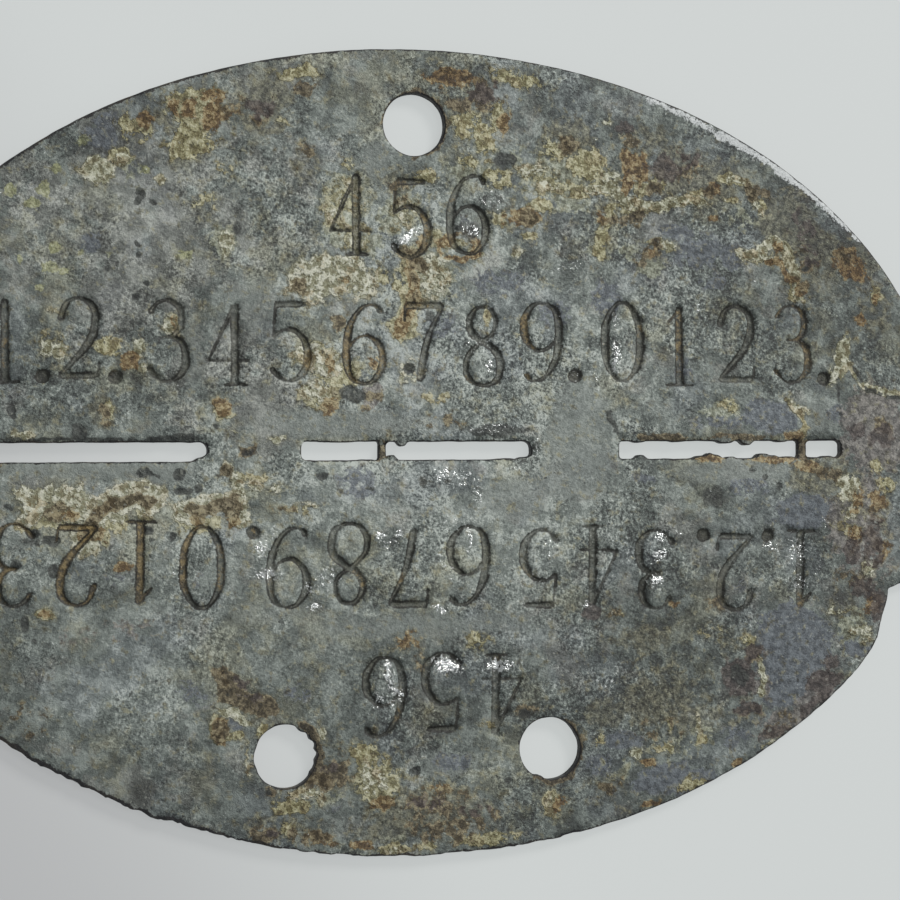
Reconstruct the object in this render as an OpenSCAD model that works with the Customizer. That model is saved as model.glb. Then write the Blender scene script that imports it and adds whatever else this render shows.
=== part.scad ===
// Identification tag: one oval plate stamped from zinc sheet.
// It has three cord holes, and a row of slots where it is broken in two.
// It lies on its back: X runs along the oval, Y across it, and Z points out of the stamped face.
// The origin is at the middle of the back. All sizes are in millimetres.

/* [Plate] */
// Length of the oval
plate_length = 70; // [60:0.5:90]
// Width of the oval
plate_width = 50; // [48:0.5:70]
// Thickness of the sheet
plate_thick = 1.0; // [0.6:0.1:2]
// How far the missing piece reaches in from the rim
chip_depth = 1.4; // [0.2:0.1:2]
// How far round the rim the missing piece runs, in degrees of the oval
chip_span = 12.5; // [6:0.5:20]

/* [Cord holes] */
// Diameter of each cord hole
hole_d = 4.0; // [2.5:0.1:5]
// Distance from the top of the oval to the middle of the upper hole
top_hole_inset = 4.7; // [4:0.1:6]
// Distance from the bottom of the oval to the line through the two lower holes
low_hole_inset = 6.4; // [5:0.1:7]
// Distance between the middles of the two lower holes
low_hole_spacing = 16.8; // [12:0.1:20]

/* [Break line] */
// Length of the slot in the middle
mid_slot_length = 14.5; // [10:0.1:16]
// Length of the slot at each end
end_slot_length = 14.8; // [10:0.1:15]
// Sheet left between two slots
slot_bridge = 5.8; // [4:0.1:8]
// Width of each slot
slot_width = 1.1; // [0.6:0.1:2]
// Radius in the corners of each slot
slot_corner_r = 0.25; // [0.1:0.05:0.3]

/* [Stamped digits] */
// Depth of the stamping
stamp_depth = 0.25; // [0.1:0.05:0.4]
// Height of a digit
digit_height = 4.9; // [3:0.1:5.5]
// Width of a digit
digit_width = 2.9; // [1.8:0.1:3.2]
// Width of a bold stroke
bold_stroke = 0.55; // [0.3:0.05:0.8]
// Gap between two digits
digit_gap = 0.85; // [0.5:0.05:1.1]
// Extra room that a dot takes along its row
dot_pitch = 0.6; // [0.4:0.05:1]
// Extra room that a space takes along its row
space_pitch = 0.95; // [0.4:0.05:1.2]
// Diameter of a dot
dot_d = 0.9; // [0.5:0.05:1.2]
// Distance from the edge of the slots to the foot of the long row
slot_to_row = 3.7; // [2:0.1:4]
// Distance from the top of the long row to the foot of the short row
row_gap = 3.0; // [2:0.1:3.4]
// How far a digit may stand above or below its row
digit_wobble = 0.15; // [0:0.05:0.3]
// How far the upper short row is off centre
up_short_shift = -0.4; // [-3:0.1:3]
// How far the lower short row is off centre, as it reads
low_short_shift = -1.8; // [-3:0.1:3]
// Turn of the lower half's stamping, in degrees
low_half_turn = 178.8; // [178:0.1:182]
// How much further the lower half's stamping is from the break line
low_half_drop = 0.4; // [0:0.05:0.6]

/* [Hidden] */

// What the two rows hold: plain counting digits
long_row = "1.2. 345 6789. 0123.";
short_row = "456";

// Number of points round the oval
rim_steps = 120;
// Number of pieces in each bend of a stroke
bend_steps = 3;
// How far each cutter runs past the face that it cuts
over = 0.5;
// Turn between the wobbles of two digits, in degrees
wobble_step = 222;
// Where on the oval the middle of the missing piece is, in degrees
chip_angle = -25.8;
zinc = [0.46, 0.48, 0.46];

half_length = plate_length / 2;
half_width = plate_width / 2;
end_slot_x = mid_slot_length / 2 + slot_bridge + end_slot_length / 2;
digit_pitch = digit_width + digit_gap;
long_row_y = slot_width / 2 + slot_to_row + digit_height / 2;
short_row_y = long_row_y + digit_height + row_gap;

// The missing piece of the rim. A row is [s, d]: s is the place along chip_span,
// counted up the rim from the middle, and d is the depth there as a share of chip_depth.
CHIP = [[-0.5, 0], [-0.28, 0.2], [-0.16, 0.42], [0.02, 0.66], [0.17, 0.84], [0.27, 1], [0.36, 0.7], [0.5, 0]];

// The strokes of each digit. A point is [x, y, w]: x is a share of digit_width from the middle,
// y a share of digit_height from the foot, and w a share of bold_stroke.
// Two points are a straight stroke, and more are a bent one.
ZERO = [
    [[0.08, 1, 0.35], [-0.14, 0.98, 0.5], [-0.36, 0.76, 0.9], [-0.4, 0.5, 1],
        [-0.36, 0.24, 0.9], [-0.14, 0.02, 0.5], [0.08, 0, 0.35]],
    [[-0.08, 1, 0.35], [0.14, 0.98, 0.5], [0.36, 0.76, 0.9], [0.4, 0.5, 1],
        [0.36, 0.24, 0.9], [0.14, 0.02, 0.5], [-0.08, 0, 0.35]]
];
ONE = [
    [[0, 0, 1], [0, 1, 1]],
    [[-0.26, 0.8, 0.35], [0, 0.97, 0.5]],
    [[-0.34, 0, 0.35], [0.34, 0, 0.35]]
];
TWO = [
    [[-0.36, 0.74, 0.9], [-0.24, 0.94, 0.6], [0.02, 1, 0.4], [0.28, 0.92, 0.8], [0.36, 0.74, 1],
        [0.22, 0.46, 1], [-0.36, 0.06, 0.5]],
    [[-0.4, 0.05, 0.8], [0.4, 0.05, 0.8]],
    [[0.4, 0.05, 0.35], [0.44, 0.24, 0.35]]
];
THREE = [
    [[-0.34, 0.84, 0.7], [-0.2, 0.96, 0.4], [0.04, 1, 0.4], [0.28, 0.9, 0.8], [0.3, 0.68, 0.9],
        [0.12, 0.56, 0.5], [-0.1, 0.55, 0.35]],
    [[-0.1, 0.55, 0.35], [0.16, 0.54, 0.5], [0.36, 0.42, 0.9], [0.38, 0.18, 1], [0.16, 0.02, 0.5],
        [-0.12, 0.01, 0.4], [-0.38, 0.16, 0.8]]
];
FOUR = [
    [[0.14, 1, 0.5], [-0.42, 0.3, 0.35]],
    [[-0.46, 0.3, 0.35], [0.46, 0.3, 0.35]],
    [[0.14, 0, 1], [0.14, 1, 1]],
    [[-0.12, 0, 0.35], [0.4, 0, 0.35]]
];
FIVE = [
    [[-0.3, 0.95, 0.9], [0.36, 0.95, 0.6]],
    [[-0.28, 0.97, 0.35], [-0.34, 0.54, 0.35]],
    [[-0.34, 0.54, 0.35], [-0.12, 0.63, 0.4], [0.16, 0.61, 0.6], [0.38, 0.42, 1], [0.36, 0.16, 1],
        [0.12, 0.01, 0.5], [-0.14, 0.01, 0.4], [-0.38, 0.15, 0.8]]
];
SIX = [
    [[0.36, 0.9, 0.8], [0.2, 0.99, 0.4], [-0.1, 0.93, 0.5], [-0.34, 0.68, 0.9], [-0.4, 0.36, 1],
        [-0.32, 0.1, 0.8], [-0.12, 0.01, 0.4], [0.08, 0, 0.35]],
    [[-0.36, 0.42, 0.35], [-0.18, 0.56, 0.4], [0.08, 0.6, 0.5], [0.34, 0.46, 0.9], [0.38, 0.22, 1],
        [0.16, 0.02, 0.5], [-0.08, 0, 0.35]]
];
SEVEN = [
    [[-0.4, 0.95, 0.9], [0.42, 0.95, 0.8]],
    [[-0.4, 0.97, 0.35], [-0.43, 0.74, 0.35]],
    [[0.4, 0.93, 0.5], [0.06, 0.5, 0.8], [-0.1, 0, 1]]
];
EIGHT = [
    [[0.08, 1, 0.35], [-0.14, 0.98, 0.5], [-0.3, 0.82, 0.8], [-0.22, 0.64, 0.9], [0.1, 0.52, 0.8],
        [0.36, 0.36, 1], [0.34, 0.12, 0.9], [0.14, 0.01, 0.5], [-0.08, 0, 0.35]],
    [[-0.08, 1, 0.35], [0.14, 0.98, 0.5], [0.28, 0.84, 0.6], [0.22, 0.66, 0.5], [-0.1, 0.52, 0.5],
        [-0.36, 0.34, 0.7], [-0.36, 0.12, 0.8], [-0.14, 0.01, 0.5], [0.08, 0, 0.35]]
];
// A nine is a six turned by half a turn
NINE = [for (stroke = SIX) [for (p = stroke) [-p.x, 1 - p.y, p.z]]];
DIGITS = [ZERO, ONE, TWO, THREE, FOUR, FIVE, SIX, SEVEN, EIGHT, NINE];

// A point at angle a of the oval, and that far in from its rim
function oval_point(a, inset = 0) = [(half_length - inset) * cos(a), (half_width - inset) * sin(a)];

// A point of a smooth curve between p1 and p2, which bends as its neighbours p0 and p3 say
function bend_point(p0, p1, p2, p3, t) =
    let (
        slope = p2 - p0,
        lean = 2 * p0 - 5 * p1 + 4 * p2 - p3,
        twist = 3 * p1 - p0 - 3 * p2 + p3
    )
    (2 * p1 + slope * t + lean * t * t + twist * t * t * t) / 2;

// All points of the smooth curve through a stroke's points
function bend(pts) =
    let (last = len(pts) - 1)
    last == 1 ? pts : [
        for (i = [0:last - 1], k = [0:bend_steps - 1])
            bend_point(pts[max(i - 1, 0)], pts[i], pts[i + 1], pts[min(i + 2, last)], k / bend_steps),
        pts[last]
    ];

// A stroke's points in millimetres
function sized(pts) = [for (p = pts) [p.x * digit_width, (p.y - 0.5) * digit_height, p.z * bold_stroke]];

// Direction of a path at point i
function heading(pts, i) =
    let (d = pts[min(i + 1, len(pts) - 1)] - pts[max(i - 1, 0)])
    [d.x, d.y] / norm([d.x, d.y]);

// One edge of the band that a stroke draws: side is 1 on its left and -1 on its right
function band_edge(pts, side) = [
    for (i = [0:len(pts) - 1])
        let (h = heading(pts, i))
        [pts[i].x - side * h.y * pts[i].z / 2, pts[i].y + side * h.x * pts[i].z / 2]
];

// A list from its last item to its first
function back_to_front(list) = [for (i = [len(list) - 1:-1:0]) list[i]];

// Room that one character takes along its row
function advance(c) = c == "." ? dot_pitch : c == " " ? space_pitch : digit_pitch;

// Room that the characters of a row take before number i
function row_length(row, i) = i == 0 ? 0 : row_length(row, i - 1) + advance(row[i - 1]);

// How far character number i stands off its row, uneven like hand stamping
function wobble(i) = digit_wobble * sin(i * wobble_step);

module stroke(pts) {
    path = bend(sized(pts));
    polygon(concat(band_edge(path, 1), back_to_front(band_edge(path, -1))));
}

module character(c) {
    if (c == ".") {
        translate([0, (dot_d - digit_height) / 2]) circle(d = dot_d, $fn = 10);
    } else if (c != " ") {
        for (pts = DIGITS[ord(c) - ord("0")]) stroke(pts);
    }
}

// A row of characters, with its middle at the origin
module row_of_digits(row) {
    start = -row_length(row, len(row)) / 2;
    for (i = [0:len(row) - 1])
        translate([start + row_length(row, i) + advance(row[i]) / 2, wobble(i)]) character(row[i]);
}

// The rows of one half, as read with the break line below them
module half_stamping(short_shift) {
    translate([0, long_row_y]) row_of_digits(long_row);
    translate([short_shift, short_row_y]) row_of_digits(short_row);
}

// The same stamping in both halves, turned by half a turn in the lower one
module stamping() {
    translate([0, 0, plate_thick - stamp_depth]) linear_extrude(stamp_depth + over) {
        half_stamping(up_short_shift);
        translate([0, -low_half_drop]) rotate(low_half_turn) half_stamping(low_short_shift);
    }
}

module outline() {
    polygon([for (i = [0:rim_steps - 1]) oval_point(i * 360 / rim_steps)]);
}

// What has broken away from the rim
module chip() {
    inner = [for (row = CHIP) oval_point(chip_angle + row[0] * chip_span, chip_depth * row[1])];
    outer = [for (row = CHIP) oval_point(chip_angle + row[0] * chip_span, -over)];
    translate([0, 0, -over])
        linear_extrude(plate_thick + 2 * over) polygon(concat(inner, back_to_front(outer)));
}

module cord_hole(x, y) {
    translate([x, y, -over]) cylinder(d = hole_d, h = plate_thick + 2 * over, $fn = 64);
}

module cord_holes() {
    cord_hole(0, half_width - top_hole_inset);
    for (side = [-1, 1]) cord_hole(side * low_hole_spacing / 2, low_hole_inset - half_width);
}

// A slot with rounded corners, with its middle at x on the break line
module slot(x, length) {
    corner_x = length / 2 - slot_corner_r;
    corner_y = slot_width / 2 - slot_corner_r;
    depth = plate_thick + 2 * over;
    translate([x, 0, -over]) {
        linear_extrude(depth) square([length, 2 * corner_y], center = true);
        linear_extrude(depth) square([2 * corner_x, slot_width], center = true);
        for (sx = [-1, 1], sy = [-1, 1])
            translate([sx * corner_x, sy * corner_y]) cylinder(r = slot_corner_r, h = depth, $fn = 24);
    }
}

module break_line() {
    slot(0, mid_slot_length);
    for (side = [-1, 1]) slot(side * end_slot_x, end_slot_length);
}

module tag_plate() {
    color(zinc) difference() {
        linear_extrude(plate_thick) outline();
        chip();
        cord_holes();
        break_line();
        stamping();
    }
}

tag_plate();
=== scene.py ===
"""Looks of the identification tag: the worn zinc plate, a plain floor, soft light and the camera.

Shapes are worked out in millimetres in the frame of the CAD model, and made in metres.
X runs along the oval, Y across it towards the single hole, and Z points out of the stamped face.
"""

import math

import bpy
import numpy as np
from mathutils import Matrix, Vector
from mathutils.geometry import delaunay_2d_cdt
from mathutils.kdtree import KDTree


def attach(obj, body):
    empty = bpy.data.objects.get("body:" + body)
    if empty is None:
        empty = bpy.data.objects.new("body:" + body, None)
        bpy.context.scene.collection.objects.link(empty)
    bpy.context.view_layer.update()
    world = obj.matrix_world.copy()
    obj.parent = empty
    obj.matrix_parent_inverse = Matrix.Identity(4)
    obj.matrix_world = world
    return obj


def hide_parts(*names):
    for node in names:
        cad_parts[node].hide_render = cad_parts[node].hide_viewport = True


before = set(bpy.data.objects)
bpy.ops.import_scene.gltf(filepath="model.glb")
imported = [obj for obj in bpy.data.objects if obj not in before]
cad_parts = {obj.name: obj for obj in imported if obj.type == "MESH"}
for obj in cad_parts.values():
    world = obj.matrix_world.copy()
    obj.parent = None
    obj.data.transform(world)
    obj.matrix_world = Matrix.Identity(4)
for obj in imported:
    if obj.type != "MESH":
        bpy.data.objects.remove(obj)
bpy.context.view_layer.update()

MM = 0.001

# The plate, with the sizes of the CAD source
HALF_LENGTH = 35.0
HALF_WIDTH = 25.0
CHIP_DEPTH = 1.4
CHIP_SPAN = 12.5
CHIP_ANGLE = -25.8
HOLE_R = 1.93
DIGIT_HEIGHT = 4.9
DIGIT_WIDTH = 2.9
BOLD = 0.55
DIGIT_PITCH = 3.75
DOT_PITCH = 0.6
SPACE_PITCH = 0.95
DOT_D = 0.9
LONG_ROW_Y = 6.7
SHORT_ROW_Y = 14.6
DIGIT_WOBBLE = 0.15
WOBBLE_STEP = 222
UP_SHORT_SHIFT = -0.4
LOW_SHORT_SHIFT = -1.8
LOW_HALF_TURN = 178.8
LOW_HALF_DROP = 0.4
LONG_ROW = "1.2. 345 6789. 0123."
SHORT_ROW = "456"

# Heights of the worn sheet. A wall row is how far its ring stands inside the edge, and its share of height
FACE_Z = 0.915
TOP_Z = 0.998
BACK_Z = 0.035
STAMP_DEPTH = 0.25
WALL = [(0.03, 0.955), (0, 0.84), (0.015, 0.6), (0.02, 0.36), (0, 0.16), (0.03, 0.07)]
FACE_INSET = 0.1

# Steps of the mesh, and where the part starts that the photo shows
RIM_POINTS = 1240
HOLE_POINTS = 88
SLOT_STEP = 0.14
FRONT_STEP = 0.25
HIDDEN_STEP = 0.36
BACK_STEP = 0.6
STROKE_STEP = 0.15
ROW_STEP = 0.866
VIEW_LEFT = -26.5

# The missing piece of the rim: a row is place along its span, and depth there as a share
CHIP = [(-0.5, 0), (-0.28, 0.2), (-0.16, 0.42), (0.02, 0.66), (0.17, 0.84), (0.27, 1), (0.36, 0.7), (0.5, 0)]

# Wear of the rim: a row is start and end in degrees, depth, length of its waves, and added breadth of the
# painted edge shade
RIM_WEAR = [
    (195, 252, 0.2, 0.9, 0.22), (252, 290, 0.13, 1.1, 0.1), (290, 333, 0.08, 1.8, 0.06),
    (-3, 100, 0.025, 1.5, 0.04), (100, 195, 0.03, 2.5, 0.16),
]

# Cord holes: a row is the middle's x and y
HOLES = [(-0.05, 20.25), (-8.4, -18.55), (8.3, -18.55)]

# Crusted bridges between openings, which lie lower than the face: a row is x from, and x to
BRIDGES = [(-2.5, -1.8), (24.9, 25.7)]
BRIDGE_HALF_WIDTH = 0.75

# Lumps on the walls of the holes: a row is hole, angle, half width in degrees, and height
HOLE_LUMPS = [
    (1, 58, 8, 0.17), (1, 34, 6, 0.13), (1, 22, 5, -0.06), (1, 12, 4, 0.09), (1, 3, 4, -0.07),
    (1, -9, 5, 0.1), (1, -20, 4, 0.02), (1, -32, 6, 0.09), (1, 160, 12, 0.06), (1, 200, 8, 0.05),
    (2, 250, 9, 0.16), (2, 30, 14, 0.05), (0, 300, 20, 0.04),
]

# Openings of the broken slots: a row is x from, x to, y from, y to, and corner radius at each end
OPENINGS = [
    (-27.85, -13.05, -0.54, 0.6, 0.25, 0.42), (-7.25, -2.42, -0.5, 0.62, 0.3, 0.12),
    (-1.9, 7.25, -0.5, 0.6, 0.2, 0.42), (13.05, 25, -0.5, 0.58, 0.2, 0.2),
    (25.6, 27.85, -0.45, 0.58, 0.2, 0.3),
]

# Lumps of crust in the openings: a row is x, side (1 upper, -1 lower), half width, and height
SLOT_LUMPS = [
    (-13.3, -1, 0.5, 0.27), (-5, 1, 1.2, 0.05), (-3.2, -1, 0.5, 0.05), (-1.6, -1, 0.3, 0.3),
    (-0.95, 1, 0.3, 0.28), (5.6, -1, 0.7, 0.07), (6.8, -1, 0.4, 0.16), (14.45, -1, 0.35, 0.25),
    (14.3, 1, 0.4, 0.08), (16.9, 1, 0.5, 0.06), (18.6, -1, 0.6, 0.18), (19.3, -1, 0.5, 0.22),
    (20.1, 1, 0.5, 0.17), (20.4, -1, 0.35, 0.12), (21.5, 1, 0.4, 0.28), (22.5, -1, 0.4, 0.3),
    (23.2, -1, 0.4, 0.2), (24.2, -1, 0.6, 0.1), (23.8, 1, 0.4, 0.1), (26.9, -1, 0.4, 0.1),
]

# Strokes of the digits: a point is x from the middle, y from the foot, and breadth, each as a share
ZERO = [
    [(0.08, 1, 0.35), (-0.14, 0.98, 0.5), (-0.36, 0.76, 0.9), (-0.4, 0.5, 1),
     (-0.36, 0.24, 0.9), (-0.14, 0.02, 0.5), (0.08, 0, 0.35)],
    [(-0.08, 1, 0.35), (0.14, 0.98, 0.5), (0.36, 0.76, 0.9), (0.4, 0.5, 1),
     (0.36, 0.24, 0.9), (0.14, 0.02, 0.5), (-0.08, 0, 0.35)],
]
ONE = [
    [(0, 0, 1), (0, 1, 1)],
    [(-0.26, 0.8, 0.35), (0, 0.97, 0.5)],
    [(-0.34, 0, 0.35), (0.34, 0, 0.35)],
]
TWO = [
    [(-0.36, 0.74, 0.9), (-0.24, 0.94, 0.6), (0.02, 1, 0.4), (0.28, 0.92, 0.8), (0.36, 0.74, 1),
     (0.22, 0.46, 1), (-0.36, 0.06, 0.5)],
    [(-0.4, 0.05, 0.8), (0.4, 0.05, 0.8)],
    [(0.4, 0.05, 0.35), (0.44, 0.24, 0.35)],
]
THREE = [
    [(-0.34, 0.84, 0.7), (-0.2, 0.96, 0.4), (0.04, 1, 0.4), (0.28, 0.9, 0.8), (0.3, 0.68, 0.9),
     (0.12, 0.56, 0.5), (-0.1, 0.55, 0.35)],
    [(-0.1, 0.55, 0.35), (0.16, 0.54, 0.5), (0.36, 0.42, 0.9), (0.38, 0.18, 1), (0.16, 0.02, 0.5),
     (-0.12, 0.01, 0.4), (-0.38, 0.16, 0.8)],
]
FOUR = [
    [(0.14, 1, 0.5), (-0.42, 0.3, 0.35)],
    [(-0.46, 0.3, 0.35), (0.46, 0.3, 0.35)],
    [(0.14, 0, 1), (0.14, 1, 1)],
    [(-0.12, 0, 0.35), (0.4, 0, 0.35)],
]
FIVE = [
    [(-0.3, 0.95, 0.9), (0.36, 0.95, 0.6)],
    [(-0.28, 0.97, 0.35), (-0.34, 0.54, 0.35)],
    [(-0.34, 0.54, 0.35), (-0.12, 0.63, 0.4), (0.16, 0.61, 0.6), (0.38, 0.42, 1), (0.36, 0.16, 1),
     (0.12, 0.01, 0.5), (-0.14, 0.01, 0.4), (-0.38, 0.15, 0.8)],
]
SIX = [
    [(0.36, 0.9, 0.8), (0.2, 0.99, 0.4), (-0.1, 0.93, 0.5), (-0.34, 0.68, 0.9), (-0.4, 0.36, 1),
     (-0.32, 0.1, 0.8), (-0.12, 0.01, 0.4), (0.08, 0, 0.35)],
    [(-0.36, 0.42, 0.35), (-0.18, 0.56, 0.4), (0.08, 0.6, 0.5), (0.34, 0.46, 0.9), (0.38, 0.22, 1),
     (0.16, 0.02, 0.5), (-0.08, 0, 0.35)],
]
SEVEN = [
    [(-0.4, 0.95, 0.9), (0.42, 0.95, 0.8)],
    [(-0.4, 0.97, 0.35), (-0.43, 0.74, 0.35)],
    [(0.4, 0.93, 0.5), (0.06, 0.5, 0.8), (-0.1, 0, 1)],
]
EIGHT = [
    [(0.08, 1, 0.35), (-0.14, 0.98, 0.5), (-0.3, 0.82, 0.8), (-0.22, 0.64, 0.9), (0.1, 0.52, 0.8),
     (0.36, 0.36, 1), (0.34, 0.12, 0.9), (0.14, 0.01, 0.5), (-0.08, 0, 0.35)],
    [(-0.08, 1, 0.35), (0.14, 0.98, 0.5), (0.28, 0.84, 0.6), (0.22, 0.66, 0.5), (-0.1, 0.52, 0.5),
     (-0.36, 0.34, 0.7), (-0.36, 0.12, 0.8), (-0.14, 0.01, 0.5), (0.08, 0, 0.35)],
]
NINE = [[(-x, 1 - y, w) for x, y, w in stroke] for stroke in SIX]
DIGITS = [ZERO, ONE, TWO, THREE, FOUR, FIVE, SIX, SEVEN, EIGHT, NINE]
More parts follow.
